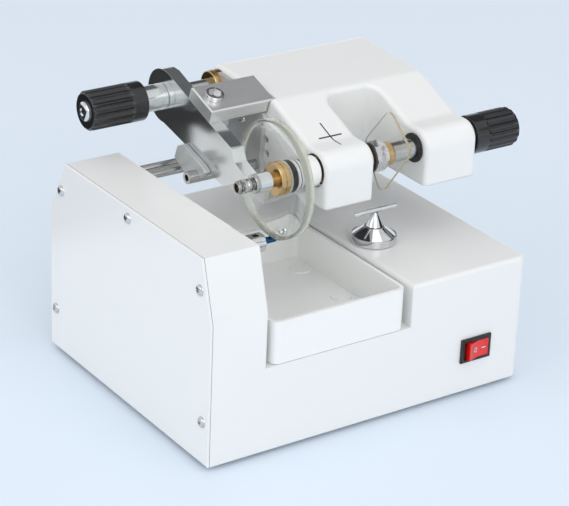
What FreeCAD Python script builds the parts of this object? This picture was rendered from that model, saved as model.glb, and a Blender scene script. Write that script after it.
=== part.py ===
import FreeCAD, Part
import Sketcher
import math
import os
import re

# Optical lens edger: a white bench machine that mills a spectacle lens to the outline of a
# pattern. Millimetres, +Z up, +X to the operator's right, +Y to the back.
# Every piece is drawn in bench coordinates (x from the side panel, y from the front of the base,
# z from the bottom edge of the base) and then set down about the middle of the machine's box.

doc = FreeCAD.newDocument("lens_edger")

# Driving sizes, in millimetres and degrees.
SIZES = {
    # base shell with the drive housing on its left
    "base_length": 221, "base_depth": 177, "deck_height": 79, "base_wall": 3,
    "base_corner": 5, "deck_edge": 2.5, "housing_width": 37.8, "housing_height": 123.5,
    "housing_front_top": 10.5, "housing_front_break": 87, "housing_back_run": 17,
    "housing_back_break": 89, "housing_edge": 2, "front_lean_share": 0.85,
    "back_lean_share": 0.62, "front_break_share": 0.15, "back_break_share": 0.4,
    "panel_thickness": 1.5, "panel_bevel": 0.5, "screw_back_inset": 12.921,
    "screw_front_inset": 11.682, "screw_low_back_inset": 6.549,
    "screw_low_front_inset": 6.726, "screw_middle_share": 0.497,
    "lug_radius": 4.2, "lug_length": 8,
    # general clearances
    "run_gap": 0.3, "fit_gap": 0.05, "overrun": 5, "weld": 0.5, "near": 0.01,
    # recess and chip tray
    "deck_behind": 65, "recess_floor": 52.7, "recess_corner": 8, "tray_side_gap": 3.7,
    "tray_right_gap": 4.5, "tray_back_gap": 2, "tray_width": 91, "tray_height": 26,
    "tray_wall": 2.2, "tray_floor": 2.5, "tray_corner": 5, "tray_inner_round": 3,
    "tray_mark_radius": 6.3, "tray_mark_rise": 0.8,
    # underside
    "plate_thickness": 1.5, "plate_gap": 0.3, "foot_inset": 12, "foot_radius": 6.5,
    "foot_height": 3, "foot_taper": 0.8, "foot_recess_share": 0.4, "boss_height": 14,
    # screws
    "dome_radius": 3.4, "dome_height": 1.8, "small_head_radius": 2.8, "small_head_height": 1.6,
    "screw_radius": 1.5, "screw_length": 8, "drive_width": 0.9, "drive_depth": 0.7,
    "crown_share": 0.55, "belly_share": 0.9, "shoulder_share": 0.45, "drive_reach_share": 0.5,
    # rocker switch
    "switch_left": 175.3, "switch_bottom": 19.5, "switch_width": 21.7, "switch_height": 15.2,
    "bezel_proud": 2, "bezel_frame": 1.9, "bezel_bevel_share": 0.3, "switch_wall": 1,
    "switch_depth": 16, "rocker_half": 8, "rocker_waist_share": 0.92, "rocker_crest": 4.5,
    "rocker_valley": 3, "rocker_depth": 4, "rocker_back_half": 5, "rocker_pivot_depth": 1,
    "rocker_tilt": 10, "trunnion_radius": 1.2, "trunnion_reach": 0.7, "rocker_well": 9,
    # mains inlet on the back
    "inlet_middle": 178, "inlet_height": 32, "inlet_flange_width": 50, "inlet_flange_height": 23,
    "inlet_flange": 3, "inlet_box_width": 27, "inlet_box_height": 19.5, "inlet_box_depth": 18,
    "socket_width": 24, "socket_height": 16, "socket_depth": 15, "socket_corner": 3,
    "pin_width": 2, "pin_height": 5, "pin_length": 11, "pin_pitch": 7, "pin_drop": 2.5,
    "inlet_screw_pitch": 40,
    # drive
    "spindle_setback": 114.6, "cutter_z": 96.3, "motor_setback": 34, "motor_z": 36,
    "motor_radius": 25,
    "motor_length": 95, "motor_front": 30, "motor_boss_radius": 8, "motor_bell": 12,
    "motor_groove": 1.2, "motor_shaft_radius": 3, "bracket_thickness": 4, "bracket_width": 48,
    "bracket_foot": 34, "motor_foot_share": 0.6, "motor_foot_spread_share": 0.3,
    "bracket_foot_thickness": 3, "motor_screw_pitch": 32,
    "pulley_left": 4, "pulley_width": 8, "belt_width": 5.4,
    "belt_thickness": 2, "flange_rise": 1.2, "spindle_pulley_radius": 10,
    "motor_pulley_radius": 15, "cutter_shaft_radius": 4, "bearing_radius": 11,
    "bearing_width": 7, "bearing_step": 3, "bearing_race": 1.7, "bearing_shield": 0.5,
    "block_length": 20, "block_radius": 15, "block_foot_half": 22.5,
    "block_foot_thickness": 4, "block_screw_offset": 18.5,
    # cutter chuck
    "chuck_gap": 0.5, "chuck_length": 41.2, "chuck_radius": 9, "chuck_bevel": 0.9,
    "chuck_flat_length": 14, "chuck_flat_height": 7.6, "set_screw_setback": 6.5,
    "set_screw_radius": 2, "set_screw_length": 4.5, "cutter_radius": 2,
    "cutter_reach": 13.9, "shank_reach": 6.5, "cutter_grip": 14, "flute_radius": 0.8,
    "cutter_flutes": 4,
    # size dial, its post and the cross bar that the pattern rests on
    "dial_offset": 17.2, "dial_radius": 13.9, "dial_rim_height": 4.5, "dial_skirt_height": 5,
    "dial_top_radius": 5.6, "dial_bevel": 0.5, "post_cone_radius": 5.25, "post_cone_height": 8.2,
    "post_tip_radius": 1.6, "stem_half": 2.5, "stem_length": 32,
    "bar_radius": 1.5, "bar_end_share": 0.3, "bar_length": 31, "spigot_radius": 0.9,
    "spigot_length": 6,
    "bush_radius": 7, "bush_flange_radius": 10, "bush_flange": 2.5, "bush_length": 13,
    # pivot bracket, rods
    "pivot_setback": 26, "pivot_z": 113.7, "axle_radius": 2.5, "tie_spacing": 10.3,
    "tie_radius": 2.3, "bracket_left": 122, "bracket_length": 84, "bracket_base": 3,
    "bracket_base_half": 17, "cheek_thickness": 4, "cheek_radius": 8, "cheek_foot_half": 12,
    "clip_radius": 4.5, "clip_thickness": 0.8, "bracket_screw_inset": 10,
    "bracket_screw_row": 9, "head_swing": 60, "tie_boss": 6, "clip_bite": 0.5,
    # head
    "spindle_z": 133.5, "pad_holder_length": 13.3, "head_gap": 0.7, "nose_width": 34,
    "window_width": 37.5, "arm_width": 37.5, "cover_wall": 3, "nose_reach": 12.9,
    "head_bottom": 113, "nose_height": 146, "nose_shoulder_run": 7.6, "nose_round": 11,
    "slope_run": 44, "slope_top_z": 161, "head_top_run": 12, "head_top": 164,
    "head_back_run": 24, "head_back_round": 11, "head_back_bottom": 128, "window_setback": 47,
    "window_round": 8, "cover_edge": 3, "slope_round": 14, "slope_wall_share": 0.2,
    "pivot_notch": 15.6, "frame_thickness": 3.5, "spindle_hole": 9.8, "oval_radius": 2.6,
    "frame_ear_radius": 9.4, "frame_foot_radius": 9,
    "frame_round": 4, "cross_bar_radius": 6, "cross_bar_setback": 9, "cross_bar_z": 140,
    "head_screw_run": 18.2, "head_screw_z": 141.5, "block_reach": 8.4, "block_back_run": 3,
    "block_bottom": 125, "block_top": 149.5, "oval_run": 39.8, "oval_upper_z": 138.9,
    "oval_lower_z": 127.9, "plate_front_run": 41, "plate_top_front": 149.5,
    "plate_waist_run": 36,
    "frame_rib": 2.5, "pivot_drop": 14.2,
    # clamp arm
    "shaft_setback": 13, "shaft_z": 152, "arm_offset": 30.7, "arm_thickness": 8.2,
    "arm_end_radius": 16.5, "arm_slope": 18.7, "arm_boss_radius": 5.6, "bar_seat_run": 38.6,
    "bar_seat_z": 152.5, "arm_edge_run": 50, "arm_knee_round": 3, "rear_shaft_radius": 5,
    "rear_shaft_left": 20, "collar_radius": 9.5, "collar_length": 5.2,
    "steady_bar_length": 43.5, "steady_bar_width": 24, "steady_bar_thickness": 8.4,
    "steady_bar_bevel": 0.7, "lug_reach": 15.5, "lug_drop": 7, "lug_margin": 2,
    "bolt_across": 10, "bolt_head": 4.2, "bolt_socket_across": 5, "bolt_socket_depth": 2.6,
    "bolt_shank_radius": 3, "bolt_shank": 14, "bolt_inset": 8.5, "bolt_setback": 12,
    "guide_run": 32, "guide_z": 118, "guide_radius": 3.75, "guide_bore": 2, "guide_bore_depth": 8,
    "guide_left_reach": 2, "guide_right_reach": 13.5, "guide_block_thickness": 8.5,
    "guide_boss_radius": 6.2, "guide_block_length": 43, "guide_block_height": 18.9,
    "guide_block_bevel": 1.6,
    "stud_radius": 3.85, "stud_reach": 12.5,
    # chuck and lens
    "neck_across": 8.6, "neck_length": 4.5, "disc_radius": 10, "disc_length": 3.5,
    "disc_bevel": 0.5, "ring_radius": 9.75, "ring_length": 3, "pad_radius": 9.5,
    "pad_length": 4, "chuck_shaft_radius": 2.5, "chuck_shaft_length": 16, "pad_gap": 0.2,
    "lens_radius": 35, "lens_thickness": 2.5, "lens_curve": 66.25, "holder_bore_setback": 3,
    # spindle
    "pad_holder_radius": 9, "spindle_radius": 5, "bush_wall": 2.5, "bush_collar": 3.5,
    "bush_inner_length": 8, "spindle_collar": 1.2, "spindle_collar_radius": 9,
    "nut_across": 15, "nut_length": 9, "flange_radius": 7, "flange_length": 4.5,
    "pattern_thickness": 1.8, "pattern_up": 27, "pattern_down": 30.5, "pattern_front": 22.5,
    "pattern_back": 23.5, "pattern_round": 7, "pattern_pin_radius": 1, "pattern_pin_pitch": 4.6,
    "spigot_core_radius": 2.5, "spigot_core_reach": 4,
    # knobs and sleeves
    "knob_radius": 12, "knob_collar": 9, "left_knob_length": 40.5, "right_knob_length": 36.5,
    "knob_round": 2.5, "flute_depth": 1.3, "knob_flutes": 16, "flute_cut_radius": 2.1,
    "knob_recess": 1.5, "cap_radius": 6, "cap_base": 2, "cap_dome": 1.5,
    "cap_top_radius": 3.4, "cap_belly_share": 0.85, "cap_shoulder_share": 0.6,
    "clamp_sleeve_radius": 8, "clamp_sleeve_length": 12.5, "press_sleeve_radius": 6.1,
    "press_sleeve_grip": 22, "press_bore_depth": 8, "black_collar_radius": 8.85,
    "black_collar": 1.2, "black_bush_wall": 1.8, "knob_gap": 1.5, "knob_end_wall": 4,
}

# Places worked out from the sizes.
PLACES = {
    "wall_in": "(housing_width - base_wall)",
    "housing_back_top": "(base_depth - housing_back_run)",
    "recess_depth": "(base_depth - deck_behind)",
    "tray_depth": "(recess_depth - tray_back_gap)",
    "tray_left": "(housing_width + tray_side_gap)",
    "recess_right": "(tray_left + tray_width + tray_right_gap)",
    "dial_x": "(recess_right + dial_offset)",
    "spindle_y": "(base_depth - spindle_setback)",
    "motor_y": "(base_depth - motor_setback)",
    "pivot_y": "(base_depth - pivot_setback)",
    "head_front": "(spindle_y - nose_reach)",
    "nose_shoulder": "(spindle_y + nose_shoulder_run)",
    "block_front": "(spindle_y - block_reach)",
    "block_back": "(pivot_y - block_back_run)",
    "slope_top_y": "(pivot_y - slope_run)",
    "head_top_y": "(pivot_y + head_top_run)",
    "head_back": "(pivot_y + head_back_run)",
    "window_back": "(pivot_y - window_setback)",
    "cross_bar_y": "(pivot_y + cross_bar_setback)",
    "head_screw_y": "(pivot_y - head_screw_run)",
    "oval_y": "(pivot_y - oval_run)",
    "plate_front": "(pivot_y - plate_front_run)",
    "plate_waist": "(pivot_y - plate_waist_run)",
    "shaft_y": "(pivot_y + shaft_setback)",
    "bar_seat_y": "(pivot_y - bar_seat_run)",
    "guide_y": "(pivot_y - guide_run)",
    "tray_bottom": "(recess_floor + run_gap)",
    "chuck_left": "(housing_width + chuck_gap)",
    "chuck_right": "(chuck_left + chuck_length)",
    "arm_left": "(housing_width + arm_offset)",
    "arm_right": "(arm_left + arm_thickness)",
    "neck_left": "(arm_right + run_gap)",
    "disc_left": "(neck_left + neck_length)",
    "ring_left": "(disc_left + disc_length)",
    "pad_left": "(ring_left + ring_length)",
    "lens_inner": "(pad_left + pad_length)",
    "lens_outer": "(lens_inner + lens_thickness)",
    "holder_right": "(lens_outer + pad_holder_length)",
    "head_left": "(holder_right + head_gap)",
    "nose_right": "(head_left + nose_width)",
    "window_right": "(nose_right + window_width)",
    "head_right": "(window_right + arm_width)",
    "frame_left": "(head_left - frame_thickness)",
    "collar_left": "(nose_right + bush_collar + run_gap)",
    "nut_left": "(collar_left + spindle_collar)",
    "flange_left": "(nut_left + nut_length)",
    "pattern_left": "(flange_left + flange_length)",
    "pattern_right": "(pattern_left + pattern_thickness)",
    "knob_left": "(head_right + knob_gap)",
    "machine_right": "(knob_left + right_knob_length + cap_base + cap_dome - knob_recess)",
    "machine_back": "(base_depth + inlet_flange + small_head_height)",
    "middle_x": "((machine_right - dome_height) / 2)",
    "middle_y": "((machine_back - bezel_crest) / 2)",
    "bezel_crest": "(rocker_crest * cos(rocker_tilt) + rocker_half * sin(rocker_tilt)"
                   " - rocker_pivot_depth)",
    "clamp_knob_face": "(arm_left - clamp_sleeve_length)",
    "dial_bottom": "(deck_height + run_gap)",
    "dial_top": "(dial_bottom + dial_rim_height + dial_skirt_height)",
    "post_bottom": "(dial_top + run_gap)",
    "bar_z": "(post_bottom + post_cone_height + bar_radius)",
    "switch_x": "(switch_left + switch_width / 2)",
    "switch_z": "(switch_bottom + switch_height / 2)",
    "tie_y": "(pivot_y - tie_spacing)",
    "pulley_right": "(pulley_left + pulley_width)",
    "block_left": "(wall_in - block_length)",
    "groove_left": "(pulley_left + pulley_width / 2 - belt_width / 2 - run_gap)",
    "groove_right": "(pulley_left + pulley_width / 2 + belt_width / 2 + run_gap)",
    "cheek_right": "(bracket_left + bracket_length)",
    "steady_bar_right": "(arm_left + steady_bar_length)",
    "knob_bore": "(rear_shaft_radius + fit_gap)",
    "hole_radius": "(screw_radius + fit_gap)",
    "sleeve_bore": "(press_sleeve_radius + fit_gap)",
}

# Screws of the side panel: how far along, and up as a share of the housing height.
PANEL_SCREW_SHARES = [("base_depth - screw_back_inset", 0.850),
                      ("base_depth * screw_middle_share", 0.947), ("screw_front_inset", 0.846),
                      ("screw_low_front_inset", 0.210),
                      ("base_depth - screw_low_back_inset", 0.207)]
# Two moulded rounds on the tray floor as shares of the tray's width and depth.
TRAY_MARK_SHARES = [(0.89, 0.83), (0.885, 0.44)]
# Corners of a hexagon as shares of its width across the flats.
CORNER_SHARE = 1 / math.sqrt(3)
HEXAGON_SHARES = [(CORNER_SHARE * math.cos(math.radians(60 * turn)),
                   CORNER_SHARE * math.sin(math.radians(60 * turn))) for turn in range(6)]

sheet = doc.addObject("Spreadsheet::Sheet", "sizes")
for row, (alias, number) in enumerate(SIZES.items(), 1):
    sheet.set(f"A{row}", alias)
    sheet.set(f"B{row}", str(number))
    sheet.setAlias(f"B{row}", alias)
doc.recompute()

WORD = re.compile(r"[a-z]+(?:_[a-z]+)*")


def bind(text):
    """The expression in which every named size or place is read from the sheet."""
    def swap(match):
        word = match.group(0)
        if word in PLACES:
            return bind(PLACES[word])
        return "sizes." + word if word in SIZES else word
    return WORD.sub(swap, str(text))


def value(text):
    """The number that an expression gives now."""
    return float(sheet.evalExpression(bind(text)))


def new_body(label):
    body = doc.addObject("PartDesign::Body", label)
    body.Label = label
    return body


def sketch_on(body, plane, name, offset="0"):
    """A sketch on one of the body's own planes: XY looks up, YZ to the right, XZ to the front."""
    sketch = body.newObject("Sketcher::SketchObject", name)
    support = [item for item in body.Origin.OriginFeatures if item.Role == plane + "_Plane"][0]
    sketch.AttachmentSupport = [(support, "")]
    sketch.MapMode = "FlatFace"
    sketch.setExpression("AttachmentOffset.Base.z", bind(offset))
    return sketch


def fix_point(sketch, geometry, corner, across, up):
    for kind, text in (("DistanceX", across), ("DistanceY", up)):
        constraint = Sketcher.Constraint(kind, -1, 1, geometry, corner, value(text))
        number = sketch.addConstraint(constraint)
        sketch.setExpression(f"Constraints[{number}]", bind(text))


def outline(sketch, points):
    """A closed outline whose corners are bound to the sheet."""
    first = sketch.GeometryCount
    count = len(points)
    spots = [FreeCAD.Vector(value(across), value(up), 0) for across, up in points]
    for number in range(count):
        sketch.addGeometry(Part.LineSegment(spots[number], spots[(number + 1) % count]))
    for number in range(count):
        following = first + (number + 1) % count
        sketch.addConstraint(Sketcher.Constraint("Coincident", first + number, 2, following, 1))
    for number, (across, up) in enumerate(points):
        fix_point(sketch, first + number, 1, across, up)
    return sketch


def box_outline(sketch, left, right, low, high):
    return outline(sketch, [(left, low), (right, low), (right, high), (left, high)])


def circle(sketch, across, up, radius):
    middle = FreeCAD.Vector(value(across), value(up), 0)
    number = sketch.addGeometry(Part.Circle(middle, FreeCAD.Vector(0, 0, 1), value(radius)))
    fixed = sketch.addConstraint(Sketcher.Constraint("Radius", number, value(radius)))
    sketch.setExpression(f"Constraints[{fixed}]", bind(radius))
    fix_point(sketch, number, 3, across, up)
    return sketch


def hexagon(sketch, across, up, flats):
    corners = [(f"{across} + {flats} * {side}", f"{up} + {flats} * {rise}")
               for side, rise in [(f"{s:.9f}", f"{r:.9f}") for s, r in HEXAGON_SHARES]]
    return outline(sketch, corners)


def add(body, sketch, length, name):
    """Material along the sketch's normal."""
    pad = body.newObject("PartDesign::Pad", name)
    pad.Profile = sketch
    pad.setExpression("Length", bind(length))
    doc.recompute()
    return pad


def cut(body, sketch, length, name):
    """A cut along the sketch's normal, which has to take some material away."""
    doc.recompute()
    before = body.Tip.Shape.Volume
    pocket = body.newObject("PartDesign::Pocket", name)
    pocket.Profile = sketch
    pocket.Reversed = True
    pocket.setExpression("Length", bind(length))
    doc.recompute()
    if not pocket.Shape.Volume < before:
        raise RuntimeError(f"{body.Label}: {name} cuts nothing")
    return pocket


def turn_profile(body, points, axis, name="Profile"):
    """A solid of revolution: points are (along, radius) about X or (radius, height) about Z."""
    sketch = outline(sketch_on(body, "XZ", name), points)
    revolution = body.newObject("PartDesign::Revolution", name + "Turned")
    revolution.Profile = sketch
    revolution.ReferenceAxis = (sketch, ["H_Axis" if axis == "X" else "V_Axis"])
    revolution.Angle = 360
    doc.recompute()
    return revolution


def place(piece, across="0", depth="0", height="0", axis=None, angle="0"):
    """Sets a piece down in the machine's frame, turned about an axis when one is given."""
    if axis:
        piece.Placement = FreeCAD.Placement(
            FreeCAD.Vector(), FreeCAD.Rotation(FreeCAD.Vector(*axis), value(angle)))
        piece.setExpression("Placement.Rotation.Angle", bind(angle))
    piece.setExpression("Placement.Base.x", bind(f"{across} - middle_x"))
    piece.setExpression("Placement.Base.y", bind(f"{depth} - middle_y"))
    piece.setExpression("Placement.Base.z", bind(f"{height} + foot_height"))
    return piece


def lies_at(edge, spots):
    """True when the whole edge lies at each given coordinate."""
    box = edge.BoundBox
    lows = (box.XMin, box.YMin, box.ZMin)
    highs = (box.XMax, box.YMax, box.ZMax)
    for axis, spot in enumerate(spots):
        if spot is None:
            continue
        number = value(spot)
        if abs(lows[axis] - number) > value("near") or abs(highs[axis] - number) > value("near"):
            return False
    return True


def soften(body, kind, size, places, name, above=None):
    """A fillet or chamfer along the edges that lie at any of the given (x, y, z) places.

    With a height given, only the edges that reach above it are taken.
    """
    base = body.Tip
    chosen = [f"Edge{number}" for number, edge in enumerate(base.Shape.Edges, 1)
              if any(lies_at(edge, spots) for spots in places)
              and (above is None or edge.BoundBox.ZMax > value(above) + value("near"))]
    if not chosen:
        raise RuntimeError(f"{body.Label}: {name} finds no edge")
    feature = body.newObject("PartDesign::" + kind, name)
    feature.Base = (base, chosen)
    feature.setExpression("Radius" if kind == "Fillet" else "Size", bind(size))
    doc.recompute()
    return feature


parts = []


def keep(piece, label=None):
    if label:
        piece.Label = label
    parts.append(piece)
    return piece


def group(label, pieces):
    """Loose pieces of one kind, kept together as one node."""
    bundle = doc.addObject("Part::Compound", label)
    bundle.Links = pieces
    return keep(bundle, label)


TURNS = {
    "right": (None, "0"), "left": ((0, 0, 1), "180"), "down": ((0, 1, 0), "90"),
    "up": ((0, 1, 0), "-90"), "front": ((0, 0, 1), "-90"), "back": ((0, 0, 1), "90"),
}


def screw(name, across, depth, height, way, length, domed=False):
    """A pan-head screw that points the given way, with its head's underside at the place."""
    head = "dome" if domed else "small_head"
    body = new_body(name)
    points = [("0", "0"), (f"-{head}_height", "0"),
              (f"-{head}_height", f"{head}_radius * crown_share"),
              (f"-{head}_height * shoulder_share", f"{head}_radius * belly_share"),
              ("0", f"{head}_radius"),
              ("0", "screw_radius"), (length, "screw_radius"), (length, "0")]
    turn_profile(body, points, "X")
    slot = sketch_on(body, "YZ", "DriveSlot", f"-{head}_height")
    box_outline(slot, f"-{head}_radius * drive_reach_share", f"{head}_radius * drive_reach_share",
                "-drive_width / 2", "drive_width / 2")
    cut(body, slot, "drive_depth", "DriveCut")
    axis, angle = TURNS[way]
    return place(body, across, depth, height, axis, angle)


HOUSING_OUTLINE = [("0", "0"), ("0", "housing_front_break"),
                   ("housing_front_top", "housing_height"), ("housing_back_top", "housing_height"),
                   ("base_depth", "housing_back_break"), ("base_depth", "0")]

PANEL_SCREWS = [(along, f"housing_height * {up}") for along, up in PANEL_SCREW_SHARES]

FEET = [("foot_inset", "foot_inset"), ("base_length - foot_inset", "foot_inset"),
        ("foot_inset", "base_depth - foot_inset"),
        ("base_length - foot_inset", "base_depth - foot_inset")]

BRACKET_SCREWS = [("bracket_left + bracket_screw_inset", "pivot_y - bracket_screw_row"),
                  ("bracket_left + bracket_screw_inset", "pivot_y + bracket_screw_row"),
                  ("cheek_right - bracket_screw_inset", "pivot_y - bracket_screw_row"),
                  ("cheek_right - bracket_screw_inset", "pivot_y + bracket_screw_row")]

BLOCK_SCREWS = [("spindle_y - block_screw_offset", "cutter_z"),
                ("spindle_y + block_screw_offset", "cutter_z")]

INLET_SCREWS = [("inlet_middle - inlet_screw_pitch / 2", "inlet_height"),
                ("inlet_middle + inlet_screw_pitch / 2", "inlet_height")]

MOTOR_FEET = [("motor_front + bracket_foot * motor_foot_share",
               f"motor_y {side} bracket_width * motor_foot_spread_share") for side in "-+"]

MOTOR_SCREWS = [("motor_y - motor_screw_pitch / 2", "motor_z"),
                ("motor_y + motor_screw_pitch / 2", "motor_z")]


def make_base_shell():
    body = new_body("base_shell")
    foot = sketch_on(body, "XY", "Footprint")
    box_outline(foot, "panel_thickness", "base_length", "0", "base_depth")
    add(body, foot, "deck_height", "Deck")
    soften(body, "Fillet", "base_corner",
           [("base_length", "0", None), ("base_length", "base_depth", None)], "RightCorners")
    side = outline(sketch_on(body, "YZ", "HousingSide", "panel_thickness"), HOUSING_OUTLINE)
    add(body, side, "housing_width - panel_thickness", "DriveHousing")
    recess = sketch_on(body, "XY", "RecessPlan", "recess_floor")
    box_outline(recess, "housing_width", "recess_right", "-overrun", "recess_depth")
    cut(body, recess, "deck_height - recess_floor + overrun", "TrayRecess")
    soften(body, "Fillet", "recess_corner",
           [("recess_right", "recess_depth", None), ("housing_width", "recess_depth", None)],
           "RecessCorners")
    soften(body, "Fillet", "deck_edge",
           [("recess_right", None, "deck_height"), ("base_length", None, "deck_height")],
           "DeckEdges")
    soften(body, "Fillet", "housing_edge", [("housing_width", None, None)], "HousingEdges",
           above="deck_height")
    under = sketch_on(body, "XY", "UnderPlan")
    box_outline(under, "panel_thickness", "base_length - base_wall", "base_wall",
                "base_depth - base_wall")
    cut(body, under, "recess_floor - base_wall", "UnderRecess")
    rear = sketch_on(body, "XY", "RearPlan")
    outline(rear, [("panel_thickness", "recess_depth + base_wall"),
                   ("recess_right + base_wall", "recess_depth + base_wall"),
                   ("recess_right + base_wall", "base_wall"),
                   ("base_length - base_wall", "base_wall"),
                   ("base_length - base_wall", "base_depth - base_wall"),
                   ("panel_thickness", "base_depth - base_wall")])
    cut(body, rear, "deck_height - base_wall", "UnderDeck")
    inner = sketch_on(body, "YZ", "HousingInside", "panel_thickness")
    outline(inner, [("base_wall", "0"),
                    ("base_wall", "housing_front_break - base_wall * front_break_share"),
                    ("housing_front_top + base_wall * front_lean_share",
                     "housing_height - base_wall"),
                    ("housing_back_top - base_wall * back_lean_share",
                     "housing_height - base_wall"),
                    ("base_depth - base_wall",
                     "housing_back_break - base_wall * back_break_share"),
                    ("base_depth - base_wall", "0")])
    cut(body, inner, "wall_in - panel_thickness", "HousingCavity")
    lugs = sketch_on(body, "YZ", "LugRounds", "panel_thickness")
    for along, up in PANEL_SCREWS:
        circle(lugs, along, up, "lug_radius")
    add(body, lugs, "lug_length", "PanelLugs")
    holes = sketch_on(body, "YZ", "LugHoles", "panel_thickness")
    for along, up in PANEL_SCREWS:
        circle(holes, along, up, "hole_radius")
    cut(body, holes, "lug_length", "LugDrilling")
    bosses = sketch_on(body, "XY", "BossRounds", "plate_thickness")
    for across, depth in FEET:
        circle(bosses, across, depth, "foot_inset - base_wall + weld")
    add(body, bosses, "boss_height", "FootBosses")
    trim = sketch_on(body, "XY", "BossTrim", "plate_thickness")
    for across, depth in FEET:
        circle(trim, across, depth, "hole_radius")
    cut(body, trim, "boss_height", "BossDrilling")
    front = sketch_on(body, "XY", "SwitchCut",
                      "switch_z - switch_height / 2 + switch_wall - fit_gap")
    box_outline(front, "switch_left + switch_wall - fit_gap",
                "switch_left + switch_width - switch_wall + fit_gap", "-overrun", "base_wall + overrun")
    cut(body, front, "switch_height - 2 * switch_wall + 2 * fit_gap", "SwitchOpening")
    back = sketch_on(body, "XY", "InletCut", "inlet_height - inlet_box_height / 2 - fit_gap")
    box_outline(back, "inlet_middle - inlet_box_width / 2 - fit_gap",
                "inlet_middle + inlet_box_width / 2 + fit_gap",
                "base_depth - base_wall - weld", "base_depth + overrun")
    cut(body, back, "inlet_box_height + 2 * fit_gap", "InletOpening")
    tapped = sketch_on(body, "XZ", "InletTapping", "-base_depth - overrun")
    for across, up in INLET_SCREWS:
        circle(tapped, across, up, "hole_radius")
    cut(body, tapped, "base_wall + 2 * overrun", "InletHoles")
    wall = sketch_on(body, "YZ", "WallHoles", "wall_in - weld")
    circle(wall, "spindle_y", "cutter_z", "cutter_shaft_radius + run_gap")
    circle(wall, "pivot_y", "pivot_z", "axle_radius + fit_gap")
    circle(wall, "tie_y", "pivot_z", "tie_radius + fit_gap")
    for along, up in BLOCK_SCREWS:
        circle(wall, along, up, "hole_radius")
    cut(body, wall, "base_wall + 2 * weld", "WallDrilling")
    deck = sketch_on(body, "XY", "DeckHoles", "deck_height - base_wall - weld")
    circle(deck, "dial_x", "spindle_y", "bush_radius + fit_gap")
    for across, depth in BRACKET_SCREWS:
        circle(deck, across, depth, "hole_radius")
    cut(body, deck, "base_wall + 2 * weld", "DeckDrilling")
    return keep(place(body))


def make_side_panel():
    body = new_body("side_panel")
    add(body, outline(sketch_on(body, "YZ", "PanelSide"), HOUSING_OUTLINE),
        "panel_thickness", "Panel")
    soften(body, "Chamfer", "panel_bevel", [("0", None, None)], "PanelBevel")
    holes = sketch_on(body, "YZ", "PanelHoles", "-overrun")
    for along, up in PANEL_SCREWS:
        circle(holes, along, up, "hole_radius")
    cut(body, holes, "panel_thickness + 2 * overrun", "PanelDrilling")
    keep(place(body))
    screws = [screw(f"panel_screw_{number}", "0", along, up, "right", "screw_length", True)
              for number, (along, up) in enumerate(PANEL_SCREWS, 1)]
    group("side_panel_screws", screws)


def make_underside():
    body = new_body("bottom_plate")
    plan = sketch_on(body, "XY", "PlatePlan")
    box_outline(plan, "panel_thickness + plate_gap", "base_length - base_wall - plate_gap",
                "base_wall + plate_gap", "base_depth - base_wall - plate_gap")
    add(body, plan, "plate_thickness", "Plate")
    holes = sketch_on(body, "XY", "PlateHoles", "-overrun")
    for across, depth in FEET + MOTOR_FEET:
        circle(holes, across, depth, "hole_radius")
    cut(body, holes, "plate_thickness + 2 * overrun", "PlateDrilling")
    keep(place(body))
    feet = []
    for number, (across, depth) in enumerate(FEET, 1):
        foot = new_body(f"foot_{number}")
        turn_profile(foot, [("hole_radius", "0"), ("foot_radius", "0"),
                            ("foot_radius - foot_taper", "-foot_height"),
                            ("small_head_radius + run_gap", "-foot_height"),
                            ("small_head_radius + run_gap", "-foot_height * foot_recess_share"),
                            ("hole_radius", "-foot_height * foot_recess_share")], "Z")
        feet.append(place(foot, across, depth))
    group("rubber_feet", feet)


def make_base_screws():
    screws = []
    for number, (across, depth) in enumerate(FEET, 1):
        screws.append(screw(f"foot_screw_{number}", across, depth,
                            "-foot_height * foot_recess_share", "up", "screw_length"))
    for number, (across, depth) in enumerate(MOTOR_FEET, 1):
        screws.append(screw(f"motor_foot_screw_{number}", across, depth, "0", "up",
                            "plate_thickness + bracket_foot_thickness"))
    for number, (along, up) in enumerate(MOTOR_SCREWS, 1):
        screws.append(screw(f"motor_screw_{number}", "motor_front - bracket_thickness", along, up,
                            "right", "screw_length"))
    for number, (across, depth) in enumerate(BRACKET_SCREWS, 1):
        screws.append(screw(f"bracket_screw_{number}", across, depth,
                            "deck_height + bracket_base", "down", "screw_length"))
    for number, (along, up) in enumerate(BLOCK_SCREWS, 1):
        screws.append(screw(f"block_screw_{number}", "wall_in - block_foot_thickness", along, up,
                            "right", "block_foot_thickness + base_wall"))
    for number, (across, up) in enumerate(INLET_SCREWS, 1):
        screws.append(screw(f"inlet_screw_{number}", across, "base_depth + inlet_flange", up,
                            "front", "screw_length"))
    group("base_screws", screws)


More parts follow.
